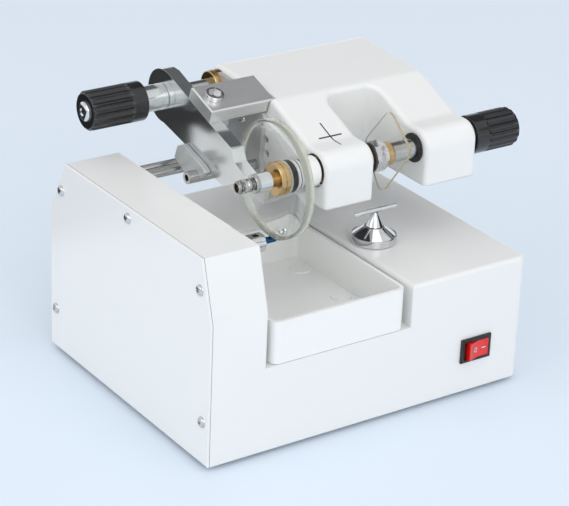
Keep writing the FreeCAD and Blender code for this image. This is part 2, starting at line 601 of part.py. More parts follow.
def make_chip_tray():
    body = new_body("chip_tray")
    plan = sketch_on(body, "XY", "TrayPlan", "tray_bottom")
    box_outline(plan, "tray_left", "tray_left + tray_width", "0", "tray_depth")
    add(body, plan, "tray_height", "TrayBlock")
    soften(body, "Fillet", "tray_corner",
           [("tray_left", "0", None), ("tray_left + tray_width", "0", None),
            ("tray_left", "tray_depth", None), ("tray_left + tray_width", "tray_depth", None)],
           "TrayCorners")
    well = sketch_on(body, "XY", "WellPlan", "tray_bottom + tray_floor")
    box_outline(well, "tray_left + tray_wall", "tray_left + tray_width - tray_wall",
                "tray_wall", "tray_depth - tray_wall")
    cut(body, well, "tray_height", "Well")
    inner_corners = [(side, end, None)
                     for side in ("tray_left + tray_wall", "tray_left + tray_width - tray_wall")
                     for end in ("tray_wall", "tray_depth - tray_wall")]
    soften(body, "Fillet", "tray_inner_round", inner_corners, "WellCorners")
    marks = sketch_on(body, "XY", "MarkRounds", "tray_bottom + tray_floor - weld")
    for along, back in TRAY_MARK_SHARES:
        circle(marks, f"tray_left + tray_width * {along}", f"tray_depth * {back}",
               "tray_mark_radius")
    add(body, marks, "weld + tray_mark_rise", "FloorMarks")
    return keep(place(body))


def make_switch():
    body = new_body("switch_body")
    shell = sketch_on(body, "XY", "SwitchPlan", "switch_bottom + switch_wall")
    box_outline(shell, "switch_left + switch_wall", "switch_left + switch_width - switch_wall",
                "0", "switch_depth")
    add(body, shell, "switch_height - 2 * switch_wall", "SwitchBox")
    bezel = sketch_on(body, "XY", "BezelPlan", "switch_bottom")
    box_outline(bezel, "switch_left", "switch_left + switch_width", "-bezel_proud", "0")
    add(body, bezel, "switch_height", "Bezel")
    soften(body, "Chamfer", "bezel_proud * bezel_bevel_share", [(None, "-bezel_proud", None)],
           "BezelBevel")
    well = sketch_on(body, "XY", "RockerWell", "switch_bottom + bezel_frame")
    box_outline(well, "switch_left + bezel_frame", "switch_left + switch_width - bezel_frame",
                "-bezel_proud - overrun", "rocker_well")
    cut(body, well, "switch_height - 2 * bezel_frame", "Well")
    pins = sketch_on(body, "XY", "TrunnionHoles",
                     "switch_bottom + bezel_frame - trunnion_reach - fit_gap")
    circle(pins, "switch_x", "rocker_pivot_depth", "trunnion_radius + fit_gap")
    cut(body, pins, "switch_height - 2 * bezel_frame + 2 * trunnion_reach + 2 * fit_gap",
        "TrunnionSeats")
    keep(place(body))

    rocker = new_body("rocker_button")
    half = "switch_height / 2 - bezel_frame - run_gap"
    face = sketch_on(rocker, "XY", "RockerPlan", f"-({half})")
    outline(face, [("-rocker_half", "-rocker_crest"), ("0", "-rocker_valley"),
                   ("rocker_half", "-rocker_crest"), ("rocker_half * rocker_waist_share", "0"),
                   ("rocker_back_half", "rocker_depth"), ("-rocker_back_half", "rocker_depth"),
                   ("-rocker_half * rocker_waist_share", "0")])
    add(rocker, face, f"2 * ({half})", "Rocker")
    reach = f"{half} + run_gap + trunnion_reach"
    trunnions = circle(sketch_on(rocker, "XY", "TrunnionRounds", f"-({reach})"), "0", "0",
                       "trunnion_radius")
    add(rocker, trunnions, f"2 * ({reach})", "Trunnions")
    keep(place(rocker, "switch_x", "rocker_pivot_depth", "switch_z", (0, 0, 1), "rocker_tilt"))


def make_mains_inlet():
    body = new_body("mains_inlet")
    box = sketch_on(body, "XY", "InletPlan", "inlet_height - inlet_box_height / 2")
    box_outline(box, "inlet_middle - inlet_box_width / 2", "inlet_middle + inlet_box_width / 2",
                "base_depth - inlet_box_depth", "base_depth + weld")
    add(body, box, "inlet_box_height", "InletBox")
    plate = sketch_on(body, "XY", "FlangePlan", "inlet_height - inlet_flange_height / 2")
    box_outline(plate, "inlet_middle - inlet_flange_width / 2",
                "inlet_middle + inlet_flange_width / 2", "base_depth",
                "base_depth + inlet_flange")
    add(body, plate, "inlet_flange_height", "Flange")
    soften(body, "Fillet", "socket_corner",
           [("inlet_middle - inlet_flange_width / 2", None, "inlet_height + inlet_flange_height / 2"),
            ("inlet_middle + inlet_flange_width / 2", None, "inlet_height + inlet_flange_height / 2"),
            ("inlet_middle - inlet_flange_width / 2", None, "inlet_height - inlet_flange_height / 2"),
            ("inlet_middle + inlet_flange_width / 2", None, "inlet_height - inlet_flange_height / 2")],
           "FlangeCorners")
    socket = sketch_on(body, "XZ", "SocketFace", "-base_depth - inlet_flange")
    left = "inlet_middle - socket_width / 2"
    right = "inlet_middle + socket_width / 2"
    low = "inlet_height - socket_height / 2"
    high = "inlet_height + socket_height / 2"
    outline(socket, [(left, low), (right, low), (right, f"{high} - socket_corner"),
                     (f"{right} - socket_corner", high), (f"{left} + socket_corner", high),
                     (left, f"{high} - socket_corner")])
    cut(body, socket, "socket_depth", "Socket")
    pins = sketch_on(body, "XZ", "PinFaces", "-base_depth - inlet_flange + socket_depth + weld")
    for side, rise in ((-1, -1), (0, 1), (1, -1)):
        middle = f"inlet_middle + pin_pitch * {side}"
        height = f"inlet_height + pin_drop * {rise}"
        box_outline(pins, f"{middle} - pin_width / 2", f"{middle} + pin_width / 2",
                    f"{height} - pin_height / 2", f"{height} + pin_height / 2")
    blades = body.newObject("PartDesign::Pad", "Pins")
    blades.Profile = pins
    blades.Reversed = True
    blades.setExpression("Length", bind("pin_length + weld"))
    doc.recompute()
    holes = sketch_on(body, "XZ", "FlangeHoles", "-base_depth - inlet_flange - overrun")
    for across, up in INLET_SCREWS:
        circle(holes, across, up, "hole_radius")
    cut(body, holes, "inlet_flange + 2 * overrun", "FlangeDrilling")
    return keep(place(body))


def make_motor():
    can = new_body("motor_can")
    groove_left = "motor_front + motor_bell"
    groove_right = "motor_front + motor_bell + 2 * motor_groove"
    turn_profile(can, [
        ("motor_front - bracket_thickness", "motor_shaft_radius + fit_gap"),
        ("motor_front - bracket_thickness", "motor_boss_radius"),
        ("motor_front", "motor_boss_radius"), ("motor_front", "motor_radius"),
        (groove_left, "motor_radius"), (groove_left, "motor_radius - motor_groove"),
        (groove_right, "motor_radius - motor_groove"), (groove_right, "motor_radius"),
        ("motor_front + motor_length", "motor_radius"), ("motor_front + motor_length", "0"),
        (groove_left, "0"), (groove_left, "motor_shaft_radius + fit_gap")], "X")
    holes = sketch_on(can, "YZ", "ScrewHoles", "motor_front")
    circle(holes, "-motor_screw_pitch / 2", "0", "hole_radius")
    circle(holes, "motor_screw_pitch / 2", "0", "hole_radius")
    cut(can, holes, "screw_length", "ScrewDrilling")
    keep(place(can, "0", "motor_y", "motor_z"))

    bracket = new_body("motor_bracket")
    low = "motor_y - bracket_width / 2"
    high = "motor_y + bracket_width / 2"
    plate = sketch_on(bracket, "YZ", "PlateSide", "motor_front - bracket_thickness")
    box_outline(plate, low, high, "plate_thickness", "motor_z + motor_radius")
    add(bracket, plate, "bracket_thickness", "Plate")
    foot = sketch_on(bracket, "XY", "FootPlan", "plate_thickness")
    box_outline(foot, "motor_front - bracket_thickness",
                "motor_front - bracket_thickness + bracket_foot", low, high)
    add(bracket, foot, "bracket_foot_thickness", "Foot")
    top = "motor_z + motor_radius"
    soften(bracket, "Fillet", "base_corner", [(None, low, top), (None, high, top)], "TopCorners")
    front = sketch_on(bracket, "YZ", "PlateHoles", "motor_front - bracket_thickness - weld")
    circle(front, "motor_y", "motor_z", "motor_boss_radius + fit_gap")
    for along, up in MOTOR_SCREWS:
        circle(front, along, up, "hole_radius")
    cut(bracket, front, "bracket_thickness + 2 * weld", "PlateDrilling")
    under = sketch_on(bracket, "XY", "FootHoles", "plate_thickness - weld")
    for across, depth in MOTOR_FEET:
        circle(under, across, depth, "hole_radius")
    cut(bracket, under, "bracket_foot_thickness + 2 * weld", "FootDrilling")
    keep(place(bracket))

    shaft = new_body("motor_shaft")
    shaft_end = "motor_front + motor_bell - run_gap"
    turn_profile(shaft, [("pulley_left", "0"), ("pulley_left", "motor_shaft_radius"),
                         (shaft_end, "motor_shaft_radius"), (shaft_end, "0")], "X")
    keep(place(shaft, "0", "motor_y", "motor_z"))


def make_pulley(label, radius, bore, along, up):
    body = new_body(label)
    rim = f"{radius} + run_gap + belt_thickness + flange_rise"
    turn_profile(body, [
        ("pulley_left", f"{bore} + fit_gap"), ("pulley_left", rim), ("groove_left", rim),
        ("groove_left", radius), ("groove_right", radius), ("groove_right", rim),
        ("pulley_right", rim), ("pulley_right", f"{bore} + fit_gap")], "X")
    return keep(place(body, "0", along, up))


def make_belt():
    """An open belt loop round both pulleys, with its tangent points worked out."""
    spots = [(value("spindle_y"), value("cutter_z")), (value("motor_y"), value("motor_z"))]
    radii = [value("spindle_pulley_radius + run_gap"), value("motor_pulley_radius + run_gap")]
    thickness = value("belt_thickness")
    left = value("groove_left + run_gap")
    width = value("belt_width")
    run = math.atan2(spots[1][1] - spots[0][1], spots[1][0] - spots[0][0])
    span = math.hypot(spots[1][0] - spots[0][0], spots[1][1] - spots[0][1])
    lean = math.acos((radii[0] - radii[1]) / span)

    def spot(wheel, radius, angle):
        middle_along, middle_up = spots[wheel]
        return FreeCAD.Vector(left, middle_along + radius * math.cos(angle),
                              middle_up + radius * math.sin(angle))

    def loop(extra):
        small, large = radii[0] + extra, radii[1] + extra
        upper = [spot(0, small, run + lean), spot(1, large, run + lean)]
        lower = [spot(0, small, run - lean), spot(1, large, run - lean)]
        edges = [Part.LineSegment(upper[0], upper[1]).toShape(),
                 Part.Arc(upper[1], spot(1, large, run), lower[1]).toShape(),
                 Part.LineSegment(lower[1], lower[0]).toShape(),
                 Part.Arc(lower[0], spot(0, small, run + math.pi), upper[0]).toShape()]
        return Part.Face(Part.Wire(edges)).extrude(FreeCAD.Vector(width, 0, 0))

    belt = doc.addObject("Part::Feature", "drive_belt")
    belt.Shape = loop(thickness).cut(loop(0))
    return keep(place(belt), "drive_belt")


def make_cutter():
    spindle = new_body("cutter_spindle")
    bore = "cutter_radius + fit_gap"
    turn_profile(spindle, [
        ("pulley_left", "0"), ("pulley_left", "cutter_shaft_radius"),
        ("chuck_left", "cutter_shaft_radius"), ("chuck_left", "chuck_radius - chuck_bevel"),
        ("chuck_left + chuck_bevel", "chuck_radius"),
        ("chuck_right - chuck_bevel", "chuck_radius"),
        ("chuck_right", "chuck_radius - chuck_bevel"), ("chuck_right", bore),
        ("chuck_right - cutter_grip", bore), ("chuck_right - cutter_grip", "0")], "X")
    flat = sketch_on(spindle, "XY", "FlatPlan", "chuck_flat_height")
    box_outline(flat, "chuck_right - chuck_flat_length", "chuck_right + overrun",
                "-chuck_radius", "chuck_radius")
    cut(spindle, flat, "overrun", "MilledFlat")
    hole = sketch_on(spindle, "XY", "SetScrewPlan")
    circle(hole, "chuck_right - set_screw_setback", "0", "set_screw_radius + fit_gap")
    cut(spindle, hole, "chuck_radius", "SetScrewHole")
    keep(place(spindle, "0", "spindle_y", "cutter_z"))

    grub = new_body("cutter_set_screw")
    low = "cutter_radius + fit_gap"
    turn_profile(grub, [("0", low), ("set_screw_radius", low),
                        ("set_screw_radius", f"{low} + set_screw_length"),
                        ("0", f"{low} + set_screw_length")], "Z")
    socket = sketch_on(grub, "XY", "SocketPlan", f"{low} + set_screw_length / 2")
    hexagon(socket, "0", "0", "set_screw_radius")
    cut(grub, socket, "set_screw_length", "Socket")
    keep(place(grub, "chuck_right - set_screw_setback", "spindle_y", "cutter_z"))

    cutter = new_body("milling_cutter")
    start = "chuck_right - cutter_grip + fit_gap"
    tip = "chuck_right + cutter_reach"
    turn = turn_profile(cutter, [(start, "0"), (start, "cutter_radius"), (tip, "cutter_radius"),
                                 (tip, "0")], "X")
    flute = sketch_on(cutter, "YZ", "FluteRound", "chuck_right + shank_reach")
    circle(flute, "cutter_radius", "0", "flute_radius")
    first = cut(cutter, flute, "cutter_reach - shank_reach + overrun", "Flute")
    repeat_round(cutter, first, turn, "cutter_flutes", "Flutes")
    keep(place(cutter, "0", "spindle_y", "cutter_z"))


def repeat_round(body, feature, turn, count, name):
    """Copies of a cut, evenly spaced about the axis that the body was turned on."""
    pattern = body.newObject("PartDesign::PolarPattern", name)
    pattern.Originals = [feature]
    pattern.Axis = turn.ReferenceAxis
    pattern.Angle = 360
    pattern.setExpression("Occurrences", bind(count))
    body.Tip = pattern
    doc.recompute()
    return pattern


def make_bearing_block():
    body = new_body("bearing_block")
    seat = "bearing_radius + fit_gap"
    turn_profile(body, [
        ("block_left", seat), ("block_left", "block_radius"), ("wall_in", "block_radius"),
        ("wall_in", seat), ("wall_in - bearing_width", seat),
        ("wall_in - bearing_width", "bearing_radius - bearing_step"),
        ("block_left + bearing_width", "bearing_radius - bearing_step"),
        ("block_left + bearing_width", seat)], "X")
    foot = sketch_on(body, "YZ", "FootSide", "wall_in - block_foot_thickness")
    box_outline(foot, "-block_foot_half", "block_foot_half", "-bearing_radius", "bearing_radius")
    add(body, foot, "block_foot_thickness", "Foot")
    mouth = sketch_on(body, "YZ", "FootBore", "wall_in - bearing_width")
    circle(mouth, "0", "0", seat)
    cut(body, mouth, "bearing_width + weld", "RightSeat")
    holes = sketch_on(body, "YZ", "FootHoles", "wall_in - block_foot_thickness - weld")
    circle(holes, "-block_screw_offset", "0", "hole_radius")
    circle(holes, "block_screw_offset", "0", "hole_radius")
    cut(body, holes, "block_foot_thickness + 2 * weld", "FootDrilling")
    keep(place(body, "0", "spindle_y", "cutter_z"))

    bearings = []
    for number, left in enumerate(("block_left", "wall_in - bearing_width"), 1):
        bearing = new_body(f"bearing_{number}")
        right = f"{left} + bearing_width"
        bore = "cutter_shaft_radius + fit_gap"
        inner = f"{bore} + bearing_race"
        outer = "bearing_radius - bearing_race"
        turn_profile(bearing, [
            (left, bore), (left, inner), (f"{left} + bearing_shield", inner),
            (f"{left} + bearing_shield", outer), (left, outer), (left, "bearing_radius"),
            (right, "bearing_radius"), (right, outer), (f"{right} - bearing_shield", outer),
            (f"{right} - bearing_shield", inner), (right, inner), (right, bore)], "X")
        bearings.append(place(bearing, "0", "spindle_y", "cutter_z"))
    group("spindle_bearings", bearings)


def make_size_dial():
    bush = new_body("dial_bush")
    under = "deck_height - base_wall"
    turn_profile(bush, [
        ("0", "deck_height - bush_length"), ("bush_radius", "deck_height - bush_length"),
        ("bush_radius", f"{under} - bush_flange"), ("bush_flange_radius", f"{under} - bush_flange"),
        ("bush_flange_radius", under), ("bush_radius", under), ("bush_radius", "deck_height"),
        ("0", "deck_height")], "Z")
    square = sketch_on(bush, "XY", "SquareBore", "deck_height - bush_length - weld")
    wide = "stem_half + fit_gap"
    box_outline(square, f"-({wide})", wide, f"-({wide})", wide)
    cut(bush, square, "bush_length + 2 * weld", "StemBore")
    keep(place(bush, "dial_x", "spindle_y"))

    dial = new_body("size_dial")
    bore = "stem_half * sqrt(2) + fit_gap"
    rim_top = "dial_bottom + dial_rim_height"
    turn_profile(dial, [
        (bore, "dial_bottom"), ("dial_radius - dial_bevel", "dial_bottom"),
        ("dial_radius", "dial_bottom + dial_bevel"), ("dial_radius", f"{rim_top} - dial_bevel"),
        ("dial_radius - dial_bevel", rim_top), ("dial_top_radius", "dial_top"),
        (bore, "dial_top")], "Z")
    keep(place(dial, "dial_x", "spindle_y"))

    post = new_body("rest_post")
    crest = "post_bottom + post_cone_height"
    hole = "spigot_radius + fit_gap"
    turn_profile(post, [
        ("0", "post_bottom"), ("post_cone_radius", "post_bottom"), ("post_tip_radius", crest),
        (hole, crest), (hole, f"{crest} - spigot_length - fit_gap"),
        ("0", f"{crest} - spigot_length - fit_gap")], "Z")
    stem = sketch_on(post, "XY", "StemPlan", "post_bottom - stem_length")
    box_outline(stem, "-stem_half", "stem_half", "-stem_half", "stem_half")
    add(post, stem, "stem_length", "SquareStem")
    keep(place(post, "dial_x", "spindle_y"))

    bar = new_body("rest_bar")
    half = "bar_length / 2"
    turn_profile(bar, [(f"-{half}", "0"), (f"-{half}", "bar_radius"), (half, "bar_radius"),
                       (half, "0")], "X")
    soften(bar, "Fillet", "bar_radius * bar_end_share", [(f"-{half}", None, None), (half, None, None)],
           "BarEnds")
    spigot = sketch_on(bar, "XY", "SpigotPlan", "-bar_radius - spigot_length")
    circle(spigot, "0", "0", "spigot_radius")
    add(bar, spigot, "bar_radius + spigot_length", "Spigot")
    keep(place(bar, "dial_x", "spindle_y", "bar_z"))


def make_pivot():
    body = new_body("pivot_bracket")
    plan = sketch_on(body, "XY", "BasePlan", "deck_height")
    box_outline(plan, "bracket_left", "cheek_right", "pivot_y - bracket_base_half",
                "pivot_y + bracket_base_half")
    add(body, plan, "bracket_base", "BasePlate")
    cheeks = [("bracket_left", "tie_y - tie_boss", "Left"),
              ("cheek_right - cheek_thickness", "pivot_y - cheek_radius", "Right")]
    for left, front, side in cheeks:
        face = sketch_on(body, "YZ", side + "CheekSide", left)
        outline(face, [(front, "deck_height"), ("pivot_y + cheek_foot_half", "deck_height"),
                       ("pivot_y + cheek_radius", "pivot_z"), (front, "pivot_z")])
        add(body, face, "cheek_thickness", side + "Cheek")
        eye = circle(sketch_on(body, "YZ", side + "EyeRound", left), "pivot_y", "pivot_z",
                     "cheek_radius")
        add(body, eye, "cheek_thickness", side + "Eye")
    tie = circle(sketch_on(body, "YZ", "TieRound", "bracket_left"), "tie_y", "pivot_z", "tie_boss")
    add(body, tie, "cheek_thickness", "TieEye")
    bores = sketch_on(body, "YZ", "AxleHoles", "bracket_left - weld")
    circle(bores, "pivot_y", "pivot_z", "axle_radius + fit_gap")
    cut(body, bores, "bracket_length + 2 * weld", "AxleBores")
    bore = sketch_on(body, "YZ", "TieHole", "bracket_left - weld")
    circle(bore, "tie_y", "pivot_z", "tie_radius + fit_gap")
    cut(body, bore, "cheek_thickness + 2 * weld", "TieBore")
    holes = sketch_on(body, "XY", "DeckScrewHoles", "deck_height - weld")
    for across, depth in BRACKET_SCREWS:
        circle(holes, across, depth, "hole_radius")
    cut(body, holes, "bracket_base + 2 * weld", "DeckScrewDrilling")
    keep(place(body))

    groove = "clip_thickness + 2 * fit_gap"
    left_clip = "wall_in - run_gap - clip_thickness"
    right_clip = "head_right - cover_wall + run_gap"
    clips = []
    rods = [("pivot_axle", "axle_radius", "pivot_y", [left_clip, right_clip],
             f"{right_clip} + 2 * clip_thickness"),
            ("tie_rod", "tie_radius", "tie_y", [left_clip], "bracket_left + cheek_thickness")]
    for label, radius, along, places, right in rods:
        rod = new_body(label)
        left = "wall_in - 4 * clip_thickness"
        neck = f"{radius} - clip_bite"
        points = [(left, "0"), (left, radius)]
        for clip_left in places:
            start = f"{clip_left} - fit_gap"
            points += [(start, radius), (start, neck), (f"{start} + {groove}", neck),
                       (f"{start} + {groove}", radius)]
        turn_profile(rod, points + [(right, radius), (right, "0")], "X")
        keep(place(rod, "0", along, "pivot_z"))
        for clip_left in places:
            clip = new_body(f"clip_{len(clips) + 1}")
            turn_profile(clip, [(clip_left, f"{neck} + fit_gap"), (clip_left, "clip_radius"),
                                (f"{clip_left} + clip_thickness", "clip_radius"),
                                (f"{clip_left} + clip_thickness", f"{neck} + fit_gap")], "X")
            mouth = sketch_on(clip, "YZ", "MouthSide", f"{clip_left} - weld")
            box_outline(mouth, f"-({neck}) / 2", f"({neck}) / 2", "-clip_radius - weld", "0")
            cut(clip, mouth, "clip_thickness + 2 * weld", "Mouth")
            clips.append(place(clip, "0", along, "pivot_z"))
    group("rod_clips", clips)


HEAD_OUTLINE = [("head_front", "head_bottom"), ("head_front", "nose_height"),
                ("nose_shoulder", "nose_height"), ("slope_top_y", "slope_top_z"),
                ("head_top_y", "head_top"), ("head_back", "head_top"),
                ("head_back", "head_back_bottom"), ("pivot_y", "head_bottom")]


def on_slope(along, up):
    """A point of the side view given along and across the slanted seat of the steady bar."""
    return (f"bar_seat_y + ({along}) * cos(arm_slope) - ({up}) * sin(arm_slope)",
            f"bar_seat_z + ({along}) * sin(arm_slope) + ({up}) * cos(arm_slope)")


def make_head_cover():
    body = new_body("head_cover")
    side = outline(sketch_on(body, "YZ", "HeadSide", "head_left"), HEAD_OUTLINE)
    add(body, side, "head_right - head_left", "Hood")
    soften(body, "Fillet", "nose_round", [(None, "head_front", "nose_height"),
                                          (None, "head_back", "head_top")], "EndRounds")
    soften(body, "Fillet", "slope_round", [(None, "nose_shoulder", "nose_height"),
                                           (None, "slope_top_y", "slope_top_z")], "SlopeRounds")
    window = sketch_on(body, "XY", "WindowPlan", "head_bottom - overrun")
    box_outline(window, "nose_right", "window_right", "head_front - overrun", "window_back")
    cut(body, window, "head_top - head_bottom + 2 * overrun", "Window")
    soften(body, "Fillet", "window_round", [("nose_right", "window_back", None),
                                            ("window_right", "window_back", None)],
           "WindowCorners")
    round_hood_edges(body)
    hollow_hood(body)
    drill_hood(body)
    return keep(place(body))


def round_hood_edges(body):
    """Every edge of the hood's two cheeks and of its window is softened, but not the rim below."""
    base = body.Tip
    planes = [value(name) for name in ("head_left", "nose_right", "window_right", "head_right")]
    near = value("near")
    window_start = value("window_back - window_round") - near
    window_end = value("window_back") + near
    chosen = []
    for number, edge in enumerate(base.Shape.Edges, 1):
        box = edge.BoundBox
        on_rim = box.ZMax < value("nose_height - nose_round") - near and box.ZLength < near
        slanted_rim = box.ZMax < value("head_back_bottom") + near and box.YMin > value("pivot_y") - near
        on_plane = box.XLength < near and any(abs(box.XMin - plane) < near for plane in planes)
        on_window = (box.YMin > window_start and box.YMax < window_end
                     and box.ZMin > value("nose_height"))
        if (on_plane and not on_rim and not slanted_rim) or on_window:
            chosen.append(f"Edge{number}")
    feature = body.newObject("PartDesign::Fillet", "HoodEdges")
    feature.Base = (base, chosen)
    feature.setExpression("Radius", bind("cover_edge"))
    doc.recompute()


def hollow_hood(body):
    """The nose, the right arm and the space behind the window are open from below."""
    inner = [("head_front + cover_wall", "head_bottom - overrun"),
             ("head_front + cover_wall", "nose_height - nose_round"),
             ("head_front + nose_round", "nose_height - cover_wall"),
             ("nose_shoulder + cover_wall * slope_wall_share", "nose_height - cover_wall"),
             ("slope_top_y + cover_wall * slope_wall_share", "slope_top_z - cover_wall"),
             ("head_back - head_back_round", "head_top - cover_wall"),
             ("head_back - cover_wall", "head_top - head_back_round"),
             ("head_back - cover_wall", "head_bottom - overrun")]
    chambers = [("head_left + cover_wall", "nose_width - 2 * cover_wall", inner, "NoseChamber"),
                ("window_right + cover_wall", "arm_width - 2 * cover_wall", inner, "ArmChamber"),
                ("nose_right - cover_wall", "window_width + 2 * cover_wall",
                 [("window_back + cover_wall", "head_bottom - overrun"),
                  ("window_back + cover_wall", "slope_top_z - 2 * cover_wall")] + inner[4:],
                 "RearChamber")]
    for left, length, points, name in chambers:
        side = outline(sketch_on(body, "YZ", name + "Side", left), points)
        cut(body, side, length, name)


def drill_hood(body):
    wall = "cover_wall + 2 * weld"
    left = sketch_on(body, "YZ", "LeftWallHoles", "head_left - weld")
    circle(left, "spindle_y", "spindle_z", "spindle_hole")
    circle(left, "guide_y", "guide_z", "guide_radius + run_gap")
    circle(left, "head_screw_y", "head_screw_z", "hole_radius")
    circle(left, "cross_bar_y", "cross_bar_z", "hole_radius")
    circle(left, "oval_y", "oval_upper_z", "oval_radius")
    circle(left, "oval_y", "oval_lower_z", "oval_radius")
    cut(body, left, wall, "LeftWallDrilling")
    nose = sketch_on(body, "YZ", "NoseWallHole", "nose_right - cover_wall - weld")
    circle(nose, "spindle_y", "spindle_z", "spindle_radius + bush_wall + fit_gap")
    cut(body, nose, wall, "NoseWallBore")
    arm = sketch_on(body, "YZ", "ArmWallHoles", "window_right - weld")
    circle(arm, "spindle_y", "spindle_z", "press_sleeve_radius + black_bush_wall + fit_gap")
    cut(body, arm, "arm_width + 2 * weld", "ArmWallBores")
    right = sketch_on(body, "YZ", "RightWallHole", "head_right - cover_wall - weld")
    circle(right, "cross_bar_y", "cross_bar_z", "hole_radius")
    cut(body, right, wall, "RightWallDrilling")
    notch = sketch_on(body, "YZ", "PivotNotchSide", "head_left - weld")
    circle(notch, "pivot_y", "pivot_z", "pivot_notch")
    cut(body, notch, "head_right - head_left + 2 * weld", "PivotNotch")
    slot = sketch_on(body, "YZ", "BarNotchSide", "head_left - weld")
    clear = "weld"
    outline(slot, [on_slope(f"-{clear}", f"-{clear}"),
                   on_slope(f"steady_bar_width + {clear}", f"-{clear}"),
                   on_slope(f"steady_bar_width + {clear}", "2 * steady_bar_thickness"),
                   on_slope(f"-{clear}", "2 * steady_bar_thickness")])
    cut(body, slot, "steady_bar_right - head_left + 2 * weld", "BarNotch")


def arc_slot(sketch, radius, half_width, start, sweep):
    """A slot along an arc about the pivot, closed by a half circle at each end."""
    middle = (value("pivot_y"), value("pivot_z"))
    first, last = math.radians(value(start)), math.radians(value(start) + value(sweep))

    def spot(distance, angle):
        return FreeCAD.Vector(middle[0] + distance * math.cos(angle),
                              middle[1] + distance * math.sin(angle), 0)

    mean, half = value(radius), value(half_width)
    bulge = half / mean
    halfway = (first + last) / 2
    near, far = mean - half, mean + half
    sketch.addGeometry(Part.Arc(spot(far, first), spot(far, halfway), spot(far, last)))
    sketch.addGeometry(Part.Arc(spot(far, last), spot(mean, last + bulge), spot(near, last)))
    sketch.addGeometry(Part.Arc(spot(near, last), spot(near, halfway), spot(near, first)))
    sketch.addGeometry(Part.Arc(spot(near, first), spot(mean, first - bulge), spot(far, first)))
    for number in range(4):
        sketch.addConstraint(Sketcher.Constraint("Block", number))


def make_frame():
    left = new_body("left_frame_plate")
    side = sketch_on(left, "YZ", "LeftPlateSide", "frame_left")
    outline(side, [
        ("plate_front", "plate_top_front"), ("plate_waist", "guide_z + guide_radius + frame_rib"),
        ("guide_y - guide_radius - frame_rib", "guide_z + guide_radius"),
        ("guide_y - guide_radius - frame_rib", "guide_z - guide_radius - frame_rib"),
        ("tie_y - frame_round", "pivot_z - pivot_drop"),
        ("pivot_y + frame_foot_radius", "pivot_z - pivot_drop"),
        ("shaft_y + frame_ear_radius", "shaft_z - frame_ear_radius"),
        ("shaft_y + frame_ear_radius", "shaft_z"), ("shaft_y", "shaft_z + frame_ear_radius"),
        on_slope("steady_bar_width", "-2 * run_gap"), on_slope("0", "-2 * run_gap")])
    add(left, side, "frame_thickness", "Plate")
    ear = circle(sketch_on(left, "YZ", "EarRound", "frame_left"), "shaft_y", "shaft_z",
                 "frame_ear_radius")
    add(left, ear, "frame_thickness", "Ear")
    soften(left, "Fillet", "frame_round",
           [(None, "pivot_y + frame_foot_radius", "pivot_z - pivot_drop"),
            (None, "tie_y - frame_round", "pivot_z - pivot_drop")], "FootRounds")
    holes = sketch_on(left, "YZ", "LeftPlateHoles", "frame_left - weld")
    circle(holes, "pivot_y", "pivot_z", "axle_radius + fit_gap")
    circle(holes, "guide_y", "guide_z", "guide_radius + fit_gap")
    circle(holes, "shaft_y", "shaft_z", "rear_shaft_radius + fit_gap")
    circle(holes, "head_screw_y", "head_screw_z", "hole_radius")
    circle(holes, "cross_bar_y", "cross_bar_z", "hole_radius")
    cut(left, holes, "frame_thickness + 2 * weld", "LeftPlateDrilling")
    slot = sketch_on(left, "YZ", "TieSlotSide", "frame_left - weld")
    arc_slot(slot, "tie_spacing", "tie_radius + run_gap", "180", "head_swing")
    cut(left, slot, "frame_thickness + 2 * weld", "TieSlot")
    keep(place(left))

    right = new_body("right_frame_plate")
    start = "head_right - cover_wall - frame_thickness"
    web = sketch_on(right, "YZ", "RightPlateSide", start)
    outline(web, [("pivot_y - frame_foot_radius", "pivot_z"),
                  ("pivot_y + frame_foot_radius", "pivot_z"),
                  ("cross_bar_y + frame_foot_radius", "cross_bar_z"),
                  ("cross_bar_y - frame_foot_radius", "cross_bar_z")])
    add(right, web, "frame_thickness", "Web")
    for along, up, name in (("pivot_y", "pivot_z", "PivotEye"),
                            ("cross_bar_y", "cross_bar_z", "BarEye")):
        eye = circle(sketch_on(right, "YZ", name + "Round", start), along, up,
                     "frame_foot_radius")
        add(right, eye, "frame_thickness", name)
    holes = sketch_on(right, "YZ", "RightPlateHoles", f"{start} - weld")
    circle(holes, "pivot_y", "pivot_z", "axle_radius + fit_gap")
    circle(holes, "cross_bar_y", "cross_bar_z", "hole_radius")
    cut(right, holes, "frame_thickness + 2 * weld", "RightPlateDrilling")
    keep(place(right))

    bar = new_body("frame_cross_bar")
    bar_left = "head_left + cover_wall"
    turn_profile(bar, [(bar_left, "hole_radius"), (bar_left, "cross_bar_radius"),
                       (start, "cross_bar_radius"), (start, "hole_radius"),
                       (f"{start} - screw_length", "hole_radius"),
                       (f"{start} - screw_length", "0"), (f"{bar_left} + screw_length", "0"),
                       (f"{bar_left} + screw_length", "hole_radius")], "X")
    keep(place(bar, "0", "cross_bar_y", "cross_bar_z"))


